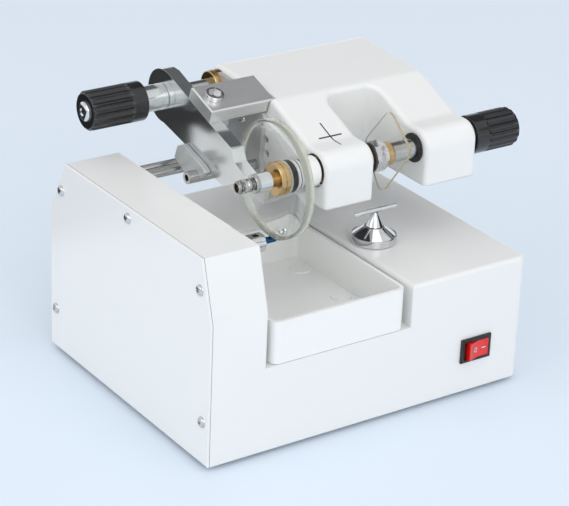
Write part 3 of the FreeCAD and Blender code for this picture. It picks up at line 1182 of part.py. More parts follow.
def make_spindle_block():
    body = new_body("spindle_block")
    left = "head_left + cover_wall"
    length = "nose_width - 2 * cover_wall"
    side = sketch_on(body, "YZ", "BlockSide", left)
    outline(side, [("block_front", "block_bottom"), ("block_front", "nose_height - nose_round - weld"),
                   ("head_front + nose_round + weld", "nose_height - cover_wall - 2 * weld"),
                   ("nose_shoulder", "nose_height - cover_wall - 2 * weld"),
                   ("window_back", "block_top"), ("block_back", "block_top"),
                   ("block_back", "block_bottom")])
    add(body, side, length, "Block")
    middle = sketch_on(body, "YZ", "ShaftBoreSide", f"{left} - weld")
    circle(middle, "spindle_y", "spindle_z", "spindle_radius + bush_wall / 2")
    cut(body, middle, f"{length} + 2 * weld", "ShaftBore")
    seat = "spindle_radius + bush_wall + fit_gap"
    first = sketch_on(body, "YZ", "LeftSeatSide", f"{left} - weld")
    circle(first, "spindle_y", "spindle_z", seat)
    cut(body, first, "bush_inner_length + weld", "LeftSeat")
    second = sketch_on(body, "YZ", "RightSeatSide",
                       "nose_right - cover_wall - bush_inner_length")
    circle(second, "spindle_y", "spindle_z", seat)
    cut(body, second, "bush_inner_length + weld", "RightSeat")
    tapped = sketch_on(body, "YZ", "TappedHoleSide", f"{left} - weld")
    circle(tapped, "head_screw_y", "head_screw_z", "hole_radius")
    cut(body, tapped, "screw_length + weld", "TappedHole")
    keep(place(body))

    bushes = []
    spans = [(left, f"{left} + bush_inner_length"),
             ("nose_right - cover_wall - bush_inner_length", "nose_right + bush_collar")]
    for number, (start, end) in enumerate(spans, 1):
        bush = new_body(f"spindle_bush_{number}")
        turn_profile(bush, [(start, "spindle_radius + fit_gap"),
                            (start, "spindle_radius + bush_wall"),
                            (end, "spindle_radius + bush_wall"),
                            (end, "spindle_radius + fit_gap")], "X")
        bushes.append(place(bush, "0", "spindle_y", "spindle_z"))
    group("spindle_bushes", bushes)

    black = new_body("sleeve_bush")
    outer = "press_sleeve_radius + black_bush_wall"
    turn_profile(black, [
        ("window_right - black_collar", "sleeve_bore"),
        ("window_right - black_collar", "black_collar_radius"),
        ("window_right", "black_collar_radius"), ("window_right", outer), ("head_right", outer),
        ("head_right", "sleeve_bore")], "X")
    keep(place(black, "0", "spindle_y", "spindle_z"))


def make_head_screws():
    shared = "frame_thickness + cover_wall + screw_length - 2 * weld"
    screws = [screw("head_screw_1", "frame_left", "head_screw_y", "head_screw_z", "right", shared),
              screw("head_screw_2", "frame_left", "cross_bar_y", "cross_bar_z", "right", shared),
              screw("head_screw_3", "head_right", "cross_bar_y", "cross_bar_z", "left", shared)]
    group("head_screws", screws)


# Corners of the clamp arm's plate in the side view, as shares of the distance from the lens
# spindle to the rear shaft, along y and z, counted from the spindle.
ARM_SHARES = [(1.06, 0.20), (0.76, -0.15), (0.429, -0.66), (0.327, -0.778), (0.182, -0.346),
              (0.02, -0.295), (0.02, 0.10), (0.069, -0.05), (0.173, 0.135), (0.221, 0.243),
              (0.258, 0.649)]


def make_clamp_arm():
    body = new_body("clamp_arm_plate")
    corners = [(f"spindle_y + (shaft_y - spindle_y) * {along}",
                f"spindle_z + (shaft_z - spindle_z) * {up}") for along, up in ARM_SHARES]
    side = outline(sketch_on(body, "YZ", "ArmSide", "arm_left"),
                   corners + [on_slope("0", "0"), on_slope("arm_edge_run", "0")])
    add(body, side, "arm_thickness", "ArmPlate")
    for along, up, radius, name in (("shaft_y", "shaft_z", "arm_end_radius", "RearEye"),
                                    ("spindle_y", "spindle_z", "arm_boss_radius", "ChuckEye")):
        eye = circle(sketch_on(body, "YZ", name + "Round", "arm_left"), along, up, radius)
        add(body, eye, "arm_thickness", name)
    soften(body, "Fillet", "arm_knee_round",
           [(None, along, up) for along, up in (corners[3], corners[4], corners[8], corners[9],
                                                corners[10])], "Knees")
    lug = sketch_on(body, "YZ", "LugSide", "arm_left")
    outline(lug, [on_slope("lug_margin", "0"), on_slope("lug_margin", "-lug_drop"),
                  on_slope("steady_bar_width - lug_margin", "-lug_drop"),
                  on_slope("steady_bar_width - lug_margin", "0")])
    add(body, lug, "lug_reach", "BarLug")
    holes = sketch_on(body, "YZ", "ArmHoles", "arm_left - weld")
    circle(holes, "shaft_y", "shaft_z", "rear_shaft_radius + fit_gap")
    circle(holes, "spindle_y", "spindle_z", "stud_radius + fit_gap")
    cut(body, holes, "arm_thickness + 2 * weld", "ArmDrilling")

    drill = doc.addObject("Part::Cylinder", "bolt_hole")
    drill.setExpression("Radius", bind("bolt_shank_radius + fit_gap"))
    depth = "bolt_shank - steady_bar_thickness + fit_gap"
    drill.setExpression("Height", bind(f"{depth} + overrun"))
    along, up = on_slope("bolt_setback", f"-({depth})")
    drill.Placement = FreeCAD.Placement(
        FreeCAD.Vector(), FreeCAD.Rotation(FreeCAD.Vector(1, 0, 0), value("arm_slope")))
    drill.setExpression("Placement.Rotation.Angle", bind("arm_slope"))
    for name, text in (("x", "arm_left + bolt_inset"), ("y", along), ("z", up)):
        drill.setExpression("Placement.Base." + name, bind(text))
    arm = doc.addObject("Part::Cut", "clamp_arm")
    arm.Base = body
    arm.Tool = drill
    keep(place(arm), "clamp_arm")


# Corners of the guide block in the side view, as shares of its length and height, counted
# from the middle of the guide pin.
GUIDE_BLOCK_SHARES = [(0.395, 0.58), (0.25, 0.926), (-0.402, 0.66), (-0.605, 0.53),
                      (-0.256, 0.05), (0.0, -0.1), (0.13, 0.0)]


def make_guide():
    body = new_body("guide_block")
    left = "arm_left - guide_block_thickness"
    corners = [(f"guide_y + guide_block_length * {along}", f"guide_z + guide_block_height * {up}")
               for along, up in GUIDE_BLOCK_SHARES]
    add(body, outline(sketch_on(body, "YZ", "BlockSide", left), corners),
        "guide_block_thickness", "Block")
    boss = circle(sketch_on(body, "YZ", "BossRound", left), "guide_y", "guide_z",
                  "guide_boss_radius")
    add(body, boss, "guide_block_thickness", "PinBoss")
    soften(body, "Chamfer", "guide_block_bevel", [(left, None, None)], "FaceBevel")
    hole = circle(sketch_on(body, "YZ", "PinHole", f"{left} - weld"), "guide_y", "guide_z",
                  "guide_radius + fit_gap")
    cut(body, hole, "guide_block_thickness + 2 * weld", "PinBore")
    keep(place(body))

    pin = new_body("guide_pin")
    start = f"{left} - guide_left_reach"
    end = "head_left + guide_right_reach"
    turn_profile(pin, [(start, "guide_bore"), (start, "guide_radius"), (end, "guide_radius"),
                       (end, "0"), (f"{start} + guide_bore_depth", "0"),
                       (f"{start} + guide_bore_depth", "guide_bore")], "X")
    keep(place(pin, "0", "guide_y", "guide_z"))


def make_steady_bar():
    bar = new_body("steady_bar")
    plan = sketch_on(bar, "XY", "BarPlan")
    box_outline(plan, "0", "steady_bar_length", "0", "steady_bar_width")
    add(bar, plan, "steady_bar_thickness", "Bar")
    soften(bar, "Chamfer", "steady_bar_bevel", [(None, None, "steady_bar_thickness")], "TopBevel")
    hole = circle(sketch_on(bar, "XY", "BoltHole", "-weld"), "bolt_inset", "bolt_setback",
                  "bolt_shank_radius + fit_gap")
    cut(bar, hole, "steady_bar_thickness + 2 * weld", "BoltBore")
    bolt = new_body("steady_bar_bolt")
    head = sketch_on(bolt, "XY", "HeadPlan", "steady_bar_thickness")
    hexagon(head, "bolt_inset", "bolt_setback", "bolt_across")
    add(bolt, head, "bolt_head", "Head")
    shank = circle(sketch_on(bolt, "XY", "ShankRound", "steady_bar_thickness - bolt_shank"),
                   "bolt_inset", "bolt_setback", "bolt_shank_radius")
    add(bolt, shank, "bolt_shank", "Shank")
    socket = sketch_on(bolt, "XY", "SocketPlan",
                       "steady_bar_thickness + bolt_head - bolt_socket_depth")
    hexagon(socket, "bolt_inset", "bolt_setback", "bolt_socket_across")
    cut(bolt, socket, "bolt_socket_depth + weld", "Socket")
    for piece in (bar, bolt):
        keep(place(piece, "arm_left", "bar_seat_y", "bar_seat_z", (1, 0, 0), "arm_slope"))


def make_rear_shaft():
    shaft = new_body("rear_shaft")
    turn_profile(shaft, [("rear_shaft_left", "0"), ("rear_shaft_left", "rear_shaft_radius"),
                         ("head_left", "rear_shaft_radius"), ("head_left", "0")], "X")
    keep(place(shaft, "0", "shaft_y", "shaft_z"))
    collar = new_body("shaft_collar")
    left = "frame_left - collar_length"
    turn_profile(collar, [(left, "rear_shaft_radius + fit_gap"),
                          (left, "collar_radius - disc_bevel"),
                          (f"{left} + disc_bevel", "collar_radius"),
                          ("frame_left", "collar_radius"),
                          ("frame_left", "rear_shaft_radius + fit_gap")], "X")
    keep(place(collar, "0", "shaft_y", "shaft_z"))
    stud = new_body("chuck_stud")
    bore = "chuck_shaft_radius + fit_gap"
    turn_profile(stud, [("arm_left - stud_reach", bore), ("arm_left - stud_reach", "stud_radius"),
                        ("arm_right", "stud_radius"), ("arm_right", bore)], "X")
    keep(place(stud, "0", "spindle_y", "spindle_z"))


def fluted_knob(label, length, bore, bore_depth):
    """A round knob drawn from its smooth collar to its capped end, along +X."""
    body = new_body(label)
    seat = "cap_radius + fit_gap"
    floor = f"{length} - knob_recess"
    turn = turn_profile(body, [
        ("0", bore), ("0", "knob_radius - disc_bevel"), ("disc_bevel", "knob_radius"),
        (length, "knob_radius"), (length, seat), (floor, seat), (floor, "0"),
        (bore_depth, "0"), (bore_depth, bore)], "X")
    base = body.Tip
    rim = [f"Edge{number}" for number, edge in enumerate(base.Shape.Edges, 1)
           if lies_at(edge, (length, None, None)) and edge.BoundBox.YLength > value("knob_radius")
           and edge.BoundBox.YMax > value("cap_radius + knob_round")]
    rounding = body.newObject("PartDesign::Fillet", "EndRound")
    rounding.Base = (base, rim)
    rounding.setExpression("Radius", bind("knob_round"))
    doc.recompute()
    flute = sketch_on(body, "YZ", "FluteRound", "knob_collar")
    circle(flute, "knob_radius - flute_depth + flute_cut_radius", "0", "flute_cut_radius")
    first = cut(body, flute, f"{length} - knob_collar + weld", "Flute")
    repeat_round(body, first, turn, "knob_flutes", "Flutes")
    return body


def knob_cap(label, length):
    body = new_body(label)
    floor = f"{length} - knob_recess"
    turn_profile(body, [
        (floor, "0"), (floor, "cap_radius"), (f"{floor} + cap_base", "cap_radius"),
        (f"{floor} + cap_base + cap_dome * cap_shoulder_share", "cap_radius * cap_belly_share"),
        (f"{floor} + cap_base + cap_dome", "cap_top_radius"),
        (f"{floor} + cap_base + cap_dome", "0")], "X")
    return body


def make_knobs():
    left_depth = "left_knob_length - knob_end_wall"
    left = [fluted_knob("clamp_knob", "left_knob_length", "knob_bore", left_depth),
            knob_cap("clamp_knob_cap", "left_knob_length")]
    for piece in left:
        keep(place(piece, "clamp_knob_face", "shaft_y", "shaft_z", (0, 0, 1), "180"))
    sleeve = new_body("clamp_sleeve")
    turn_profile(sleeve, [("clamp_knob_face", "knob_bore"),
                          ("clamp_knob_face", "clamp_sleeve_radius"),
                          ("arm_left", "clamp_sleeve_radius"), ("arm_left", "knob_bore")], "X")
    keep(place(sleeve, "0", "shaft_y", "shaft_z"))

    right = [fluted_knob("spindle_knob", "right_knob_length", "sleeve_bore", "press_sleeve_grip"),
             knob_cap("spindle_knob_cap", "right_knob_length")]
    for piece in right:
        keep(place(piece, "knob_left", "spindle_y", "spindle_z"))
    press = new_body("press_sleeve")
    bore = "spigot_core_radius + fit_gap"
    end = "knob_left + press_sleeve_grip"
    turn_profile(press, [("pattern_right", bore), ("pattern_right", "press_sleeve_radius"),
                         (end, "press_sleeve_radius"), (end, "0"),
                         ("pattern_right + press_bore_depth", "0"),
                         ("pattern_right + press_bore_depth", bore)], "X")
    keep(place(press, "0", "spindle_y", "spindle_z"))


def make_chuck():
    disc = new_body("chuck_disc")
    turn_profile(disc, [
        ("neck_left - chuck_shaft_length", "0"),
        ("neck_left - chuck_shaft_length", "chuck_shaft_radius"),
        ("disc_left", "chuck_shaft_radius"), ("disc_left", "disc_radius - disc_bevel"),
        ("disc_left + disc_bevel", "disc_radius"), ("ring_left - disc_bevel", "disc_radius"),
        ("ring_left", "disc_radius - disc_bevel"), ("ring_left", "0")], "X")
    neck = sketch_on(disc, "YZ", "NeckSide", "neck_left")
    hexagon(neck, "0", "0", "neck_across")
    add(disc, neck, "neck_length + disc_bevel", "HexNeck")
    keep(place(disc, "0", "spindle_y", "spindle_z"))
    ring = new_body("chuck_ring")
    turn_profile(ring, [("ring_left", "0"), ("ring_left", "ring_radius"),
                        ("pad_left", "ring_radius"), ("pad_left", "0")], "X")
    keep(place(ring, "0", "spindle_y", "spindle_z"))


def ball(name, across, radius):
    sphere = doc.addObject("Part::Sphere", name)
    sphere.setExpression("Radius", bind(radius))
    for axis, text in (("x", across), ("y", "spindle_y"), ("z", "spindle_z")):
        sphere.setExpression("Placement.Base." + axis, bind(text))
    return sphere


def rod(name, left, right, radius):
    cylinder = doc.addObject("Part::Cylinder", name)
    cylinder.setExpression("Radius", bind(radius))
    cylinder.setExpression("Height", bind(f"{right} - ({left})"))
    cylinder.Placement = FreeCAD.Placement(
        FreeCAD.Vector(), FreeCAD.Rotation(FreeCAD.Vector(0, 1, 0), 90))
    for axis, text in (("x", left), ("y", "spindle_y"), ("z", "spindle_z")):
        cylinder.setExpression("Placement.Base." + axis, bind(text))
    return cylinder


def boolean(kind, name, base, tool):
    result = doc.addObject("Part::" + kind, name)
    result.Base = base
    result.Tool = tool
    return result


def make_lens():
    """A meniscus blank: both faces are parts of balls, the hollow one towards the chuck."""
    rim = rod("lens_rim", "lens_inner - lens_radius / 2", "lens_outer", "lens_radius")
    front = ball("lens_front_ball", "lens_outer - lens_curve", "lens_curve")
    back = ball("lens_back_ball", "lens_inner - lens_curve", "lens_curve")
    blank = boolean("Common", "lens_blank", rim, front)
    keep(place(boolean("Cut", "lens", blank, back)), "lens")

    cushion = rod("pad_rod", "pad_left", "lens_inner", "pad_radius")
    face = ball("pad_ball", "lens_inner - lens_curve", "lens_curve - pad_gap")
    keep(place(boolean("Common", "chuck_pad", cushion, face)), "chuck_pad")

    holder = rod("holder_rod", "lens_outer - pad_holder_radius / 4", "holder_right",
                 "pad_holder_radius")
    hollow = ball("holder_ball", "lens_outer - lens_curve", "lens_curve + pad_gap")
    bore = rod("holder_bore", "lens_outer + holder_bore_setback", "holder_right + overrun",
               "spindle_radius + fit_gap")
    cupped = boolean("Cut", "holder_cupped", holder, hollow)
    keep(place(boolean("Cut", "pad_holder", cupped, bore)), "pad_holder")


def make_spindle():
    shaft = new_body("spindle_shaft")
    turn_profile(shaft, [
        ("lens_outer + holder_bore_setback", "0"),
        ("lens_outer + holder_bore_setback", "spindle_radius"), ("collar_left", "spindle_radius"),
        ("collar_left", "spindle_collar_radius"), ("nut_left", "spindle_collar_radius"),
        ("nut_left", "spindle_radius"), ("flange_left", "spindle_radius"),
        ("flange_left", "0")], "X")
    keep(place(shaft, "0", "spindle_y", "spindle_z"))
    nut = new_body("spindle_nut")
    face = sketch_on(nut, "YZ", "NutSide", "nut_left")
    hexagon(face, "0", "0", "nut_across")
    add(nut, face, "nut_length", "Nut")
    hole = circle(sketch_on(nut, "YZ", "NutHole", "nut_left - weld"), "0", "0",
                  "spindle_radius + fit_gap")
    cut(nut, hole, "nut_length + 2 * weld", "NutBore")
    keep(place(nut, "0", "spindle_y", "spindle_z"))

    flange = new_body("pattern_flange")
    core_end = "pattern_right + spigot_core_reach"
    turn_profile(flange, [
        ("flange_left", "0"), ("flange_left", "flange_radius"), ("pattern_left", "flange_radius"),
        ("pattern_left", "spigot_core_radius"), (core_end, "spigot_core_radius"),
        (core_end, "0")], "X")
    pins = sketch_on(flange, "YZ", "PinRounds", "pattern_left - weld")
    circle(pins, "-pattern_pin_pitch", "0", "pattern_pin_radius")
    circle(pins, "pattern_pin_pitch", "0", "pattern_pin_radius")
    add(flange, pins, "pattern_thickness + weld", "Pins")
    keep(place(flange, "0", "spindle_y", "spindle_z"))

    pattern = new_body("pattern")
    corners = [("0", "pattern_up"), ("pattern_back", "0"), ("0", "-pattern_down"),
               ("-pattern_front", "0")]
    add(pattern, outline(sketch_on(pattern, "YZ", "PatternSide", "pattern_left"), corners),
        "pattern_thickness", "Sheet")
    soften(pattern, "Fillet", "pattern_round", [(None, along, up) for along, up in corners],
           "PatternCorners")
    holes = sketch_on(pattern, "YZ", "PatternHoles", "pattern_left - weld")
    circle(holes, "0", "0", "spigot_core_radius + fit_gap")
    circle(holes, "-pattern_pin_pitch", "0", "pattern_pin_radius + fit_gap")
    circle(holes, "pattern_pin_pitch", "0", "pattern_pin_radius + fit_gap")
    cut(pattern, holes, "pattern_thickness + 2 * weld", "PatternDrilling")
    keep(place(pattern, "0", "spindle_y", "spindle_z"))


def export_parts():
    """Checks every object and every sub-part, then writes one file for each sub-part."""
    doc.recompute()
    failed = [item.Label for item in doc.Objects
              if "Invalid" in item.State or "Error" in item.State]
    if failed:
        raise RuntimeError("failed objects: " + ", ".join(failed))
    for piece in parts:
        if piece.Shape.isNull() or not piece.Shape.isValid() or not piece.Shape.Solids:
            raise RuntimeError(piece.Label + " has no valid shape")
    os.makedirs("parts", exist_ok=True)
    for piece in parts:
        piece.Shape.exportStep(f"parts/{piece.Label}.step")
    print(len(parts), "sub-parts written")


make_base_shell()
make_side_panel()
make_underside()
make_base_screws()
make_chip_tray()
make_switch()
make_mains_inlet()
make_motor()
make_pulley("motor_pulley", "motor_pulley_radius", "motor_shaft_radius", "motor_y", "motor_z")
make_pulley("spindle_pulley", "spindle_pulley_radius", "cutter_shaft_radius", "spindle_y",
            "cutter_z")
make_belt()
make_cutter()
make_bearing_block()
make_size_dial()
make_pivot()
make_head_cover()
make_frame()
make_spindle_block()
make_head_screws()
make_clamp_arm()
make_guide()
make_steady_bar()
make_rear_shaft()
make_knobs()
make_chuck()
make_lens()
make_spindle()
export_parts()
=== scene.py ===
# %% [markdown]
# # A lens edger for the optician's bench
# This lesson dresses a small machine that mills a spectacle lens to the outline of a pattern.
# Its solids come from a CAD model and are already in place, so each step here either gives one
# of them a finish, or puts a finer piece where the CAD one stands.

# %% The frame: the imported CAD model
import math

import bmesh
import bpy
from mathutils import Matrix, Vector


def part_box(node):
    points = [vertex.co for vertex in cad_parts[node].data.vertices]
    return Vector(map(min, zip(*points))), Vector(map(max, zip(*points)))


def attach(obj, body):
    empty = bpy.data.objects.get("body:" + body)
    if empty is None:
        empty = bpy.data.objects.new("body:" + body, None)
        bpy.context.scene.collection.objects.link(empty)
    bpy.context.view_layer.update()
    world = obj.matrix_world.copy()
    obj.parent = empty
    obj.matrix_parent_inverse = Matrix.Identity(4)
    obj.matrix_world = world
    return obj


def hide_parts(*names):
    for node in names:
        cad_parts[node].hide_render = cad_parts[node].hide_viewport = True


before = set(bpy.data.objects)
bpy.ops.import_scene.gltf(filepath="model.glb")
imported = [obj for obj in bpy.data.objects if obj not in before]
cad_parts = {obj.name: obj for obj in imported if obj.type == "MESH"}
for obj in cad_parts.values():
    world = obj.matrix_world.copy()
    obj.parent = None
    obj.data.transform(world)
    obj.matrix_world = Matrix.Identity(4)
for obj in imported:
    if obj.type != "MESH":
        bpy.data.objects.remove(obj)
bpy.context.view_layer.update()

# %% [markdown]
# ## Where things are
# The drawing of the real machine counts in millimetres from the lower front corner of its left
# side panel. The same corner is a corner of a CAD node, so every place below is written in the
# drawing's own numbers and turned into metres by one helper.

# %% Places on the bench drawing
MM = 0.001
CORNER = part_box("side_panel")[0]
SPINDLE = (62.4, 133.5)
CUTTER_AXIS = (62.4, 96.3)
REAR_SHAFT = (164.0, 152.0)
DIAL_AXIS = (154.2, 62.4)


def bench(across, depth, height):
    """A point of the drawing, in metres in the machine's frame."""
    return CORNER + Vector((across, depth, height)) * MM


print("drawing corner", [round(v, 5) for v in CORNER])

# %% [markdown]
# ## The camera
# The photograph was taken from the left, a little above the machine, with a long lens from
# about 1.3 m away, and it leans slightly. A camera object is a matrix: its columns are the
# picture's right, its up and the way back from the scene. Building that matrix from two angles
# and a roll is clearer than guessing Euler angles.

# %% The photograph's camera
PICTURE = (569, 506)
AZIMUTH, ELEVATION, ROLL = (math.radians(angle) for angle in (-35.18, 24.88, 2.42))
CAMERA_PLACE = (-602.5, -920.2, 642.9)
FOCAL_PIXELS = 2294.0
SENSOR = 36.0


def camera_matrix(place):
    """The picture's right, its up and the way back from the scene, as columns."""
    back = Vector((math.sin(AZIMUTH) * math.cos(ELEVATION),
                   -math.cos(AZIMUTH) * math.cos(ELEVATION), math.sin(ELEVATION)))
    level = (-back).cross(Vector((0, 0, 1))).normalized()
    rise = level.cross(-back)
    right = level * math.cos(ROLL) + rise * math.sin(ROLL)
    up = rise * math.cos(ROLL) - level * math.sin(ROLL)
    matrix = Matrix((right, up, back)).transposed().to_4x4()
    matrix.translation = place
    return matrix


camera_data = bpy.data.cameras.new("camera")
camera_data.sensor_width = SENSOR
camera_data.lens = FOCAL_PIXELS / PICTURE[0] * SENSOR
camera_data.clip_start, camera_data.clip_end = 0.05, 60
camera = bpy.data.objects.new("camera", camera_data)
camera.matrix_world = camera_matrix(bench(*CAMERA_PLACE))
bpy.context.scene.collection.objects.link(camera)
bpy.context.scene.camera = camera
print("camera lens", round(camera_data.lens, 1), "mm")

# %% [markdown]
# ## Finishes
# A real surface is never one flat colour: paint has a faint orange peel, turned metal has fine
# rings, and moulded plastic is a little uneven. One helper builds that for every finish. Two
# noise patterns drive it: a broad one moves the colour and the roughness a little, and a fine
# one lifts the surface. A Bevel node rounds the light on sharp edges, as a broken edge does.
# Colours and numbers that are the same all over stay on the shader's own sockets.

# %% The helper behind every finish
def put(tree, kind, settings=None, **inputs):
    """A node with its settings, whose inputs are numbers or other nodes' sockets."""
    made = tree.nodes.new(kind)
    for key, given in (settings or {}).items():
        setattr(made, key, given)
    for key, given in inputs.items():
        numbered = key[0] == "i" and key[1:].isdigit()
        socket = made.inputs[int(key[1:]) if numbered else key.replace("_", " ")]
        if isinstance(given, bpy.types.NodeSocket):
            tree.links.new(given, socket)
        else:
            socket.default_value = given
    return made


def finish(name, colour, second, rough, cloud=60.0, grain=900.0, relief=0.02, stretch=(1, 1, 1),
           edge=0.25, metallic=0.0, coat=0.0, coat_rough=0.03, transmission=0.0, ior=1.5,
           sheen=0.0, subsurface=0.0, rings=None):
    """A material with clouded colour and roughness, fine relief and softened edges."""
    material = bpy.data.materials.new(name)
    material.use_nodes = True
    tree = material.node_tree
    tree.nodes.clear()
    shader = put(tree, "ShaderNodeBsdfPrincipled", Metallic=metallic, IOR=ior, Coat_Weight=coat,
                 Coat_Roughness=coat_rough, Transmission_Weight=transmission,
                 Sheen_Weight=sheen, Subsurface_Weight=subsurface, Subsurface_Scale=MM,
                 Subsurface_Radius=(1, 1, 1))
    put(tree, "ShaderNodeOutputMaterial", Surface=shader.outputs["BSDF"])
    places = put(tree, "ShaderNodeTexCoord").outputs["Object"]
    spot = put(tree, "ShaderNodeMapping", Vector=places, Scale=stretch).outputs["Vector"]

    broad = put(tree, "ShaderNodeTexNoise", Vector=spot, Scale=cloud, Detail=4).outputs["Fac"]
    tint = put(tree, "ShaderNodeValToRGB", Fac=broad)
    for stop, place, shade in zip(tint.color_ramp.elements, (0.3, 0.6), (second, colour)):
        stop.position, stop.color = place, (*shade, 1)
    tree.links.new(tint.outputs["Color"], shader.inputs["Base Color"])
    spread = put(tree, "ShaderNodeMapRange", Value=broad, To_Min=rough[0], To_Max=rough[1])
    tree.links.new(spread.outputs["Result"], shader.inputs["Roughness"])

    height = put(tree, "ShaderNodeTexNoise", Vector=spot, Scale=grain, Detail=2).outputs["Fac"]
    if rings:
        lathe = put(tree, "ShaderNodeTexWave", {"bands_direction": rings[0]}, Vector=places,
                    Scale=rings[1], Distortion=0.6)
        both = put(tree, "ShaderNodeMath", {"operation": "ADD"}, i0=height,
                   i1=lathe.outputs["Fac"])
        height = both.outputs["Value"]
    bump = put(tree, "ShaderNodeBump", Strength=0.4, Distance=relief * MM, Height=height)
    if edge:
        rounded = put(tree, "ShaderNodeBevel", {"samples": 4}, Radius=edge * MM)
        tree.links.new(rounded.outputs["Normal"], bump.inputs["Normal"])
    tree.links.new(bump.outputs["Normal"], shader.inputs["Normal"])
    return material


print("finish helper ready")

# %% [markdown]
# ### Paint and plastic
# The housing, the deck and the swinging head share one bright white enamel. It is sprayed, so
# it carries a very fine orange peel under a clear gloss. The tray is moulded in a slightly
# warmer white. The knobs are black moulded plastic with a gloss that fingers have dulled in
# patches, and the switch is the usual black frame with a red rocker.

# %% White enamel, moulded whites, black and red plastic
ENAMEL = dict(colour=(0.84, 0.845, 0.835), second=(0.837, 0.842, 0.832), rough=(0.27, 0.29),
              cloud=30, grain=1300, relief=0.003, coat=0.2, coat_rough=0.08)
enamel = finish("white_enamel", edge=0.5, **ENAMEL)
# The side panel's enamel also carries a painted shadow along its seam, mixed in below.
panel_enamel = finish("panel_enamel", edge=0.4, **ENAMEL)
hood_enamel = finish("hood_enamel", edge=2.0, **ENAMEL)
tray_white = finish("moulded_tray_white", (0.88, 0.885, 0.87), (0.872, 0.877, 0.862), (0.3, 0.36),
                    cloud=40, grain=2200, relief=0.012, edge=0.4, subsurface=0.05)
holder_white = finish("holder_white", (0.86, 0.86, 0.84), (0.82, 0.82, 0.80), (0.3, 0.4),
                      cloud=150, grain=3000, relief=0.008, subsurface=0.05)
knob_black = finish("knob_black", (0.009, 0.009, 0.010), (0.012, 0.012, 0.013), (0.18, 0.24),
                    cloud=170, grain=2600, relief=0.006, edge=0.35, coat=0.4, coat_rough=0.08)
frame_black = finish("frame_black", (0.012, 0.012, 0.013), (0.022, 0.022, 0.022), (0.3, 0.45),
                     cloud=300, grain=4000, relief=0.012, edge=0.25)
rocker_red = finish("rocker_red", (0.78, 0.012, 0.008), (0.62, 0.006, 0.006), (0.16, 0.28),
                    cloud=260, grain=2500, relief=0.01, edge=0.35, coat=0.4, subsurface=0.1)
mark_white = finish("mark_white", (0.9, 0.72, 0.68), (0.82, 0.6, 0.56), (0.35, 0.5), grain=3000)
ring_plastic = finish("knurled_ring", (0.62, 0.61, 0.56), (0.42, 0.41, 0.38), (0.25, 0.45),
                      cloud=700, grain=2500, relief=0.02, metallic=0.35)
rubber = finish("pad_rubber", (0.012, 0.012, 0.012), (0.03, 0.03, 0.03), (0.55, 0.8),
                cloud=400, grain=3500, relief=0.05, sheen=0.2)
# A near-black finish for the holder's groove: painted shade inside the groove.
groove_dark = finish("groove_dark", (0.02, 0.02, 0.02), (0.04, 0.04, 0.04), (0.6, 0.8))
print("paints and plastics", len(bpy.data.materials))

# %% [markdown]
# ### Metals
# Each metal part was made another way, and its light shows it: the dial is polished and
# chromed, the arm is plated zinc whose flat faces ripple a little, the bar is sawn and
# satin-brushed aluminium, and brass and steel are turned on a lathe, so they carry rings. The
# rings are a wave pattern across the turning axis, and the brushing is noise that is squeezed
# along one axis.

# %% Chrome, zinc, aluminium, brass and steel
chrome = finish("polished_chrome", (0.74, 0.75, 0.76), (0.66, 0.67, 0.69), (0.03, 0.09),
                cloud=200, grain=900, relief=0.004, edge=0.2, metallic=1.0)
zinc = finish("plated_zinc", (0.74, 0.76, 0.76), (0.68, 0.70, 0.70), (0.13, 0.2),
              cloud=60, grain=110, relief=0.05, edge=0.3, metallic=1.0)
guide_zinc = finish("satin_zinc", (0.62, 0.64, 0.64), (0.57, 0.59, 0.59), (0.32, 0.42),
                    cloud=120, grain=1500, relief=0.03, edge=0.4, metallic=0.75)
satin_aluminium = finish("satin_aluminium", (0.80, 0.805, 0.79), (0.76, 0.765, 0.75),
                         (0.28, 0.40), cloud=150, grain=500, relief=0.03, stretch=(0.25, 9, 9),
                         edge=0.5, metallic=0.85)
block_aluminium = finish("machined_aluminium", (0.60, 0.61, 0.62), (0.52, 0.53, 0.54),
                         (0.25, 0.4), cloud=120, grain=700, relief=0.03, stretch=(9, 0.5, 0.5),
                         metallic=1.0)
brass = finish("turned_brass", (0.60, 0.43, 0.22), (0.50, 0.34, 0.15), (0.14, 0.28),
               cloud=160, grain=1600, relief=0.012, metallic=1.0, rings=("X", 900.0))
steel = finish("ground_steel", (0.50, 0.50, 0.49), (0.44, 0.44, 0.43), (0.14, 0.22),
               cloud=60, grain=600, relief=0.006, stretch=(0.1, 3, 3), metallic=1.0)
dark_steel = finish("dark_steel", (0.10, 0.10, 0.11), (0.07, 0.07, 0.075), (0.3, 0.45),
                    cloud=150, grain=1500, relief=0.02, metallic=0.9)
plate_grey = finish("bare_plate", (0.62, 0.62, 0.61), (0.56, 0.56, 0.55), (0.3, 0.42),
                    cloud=90, grain=1200, relief=0.02, metallic=0.5)
motor_grey = finish("motor_can", (0.10, 0.105, 0.11), (0.07, 0.07, 0.075), (0.4, 0.55),
                    cloud=50, grain=900, relief=0.04, metallic=0.3)
screw_chrome = finish("screw_plating", (0.68, 0.68, 0.69), (0.55, 0.55, 0.56), (0.12, 0.24),
                      cloud=500, grain=2500, relief=0.01, edge=0.15, metallic=1.0)
print("metals", len(bpy.data.materials))

# %% [markdown]
# ### Clear pieces
# The lens blank is clear, with a ground edge that looks milky green. The pattern is cut from
# clear plastic sheet, and its sawn edge glows yellowish. A clear piece therefore needs two
# materials: one for its faces and one for its edge.

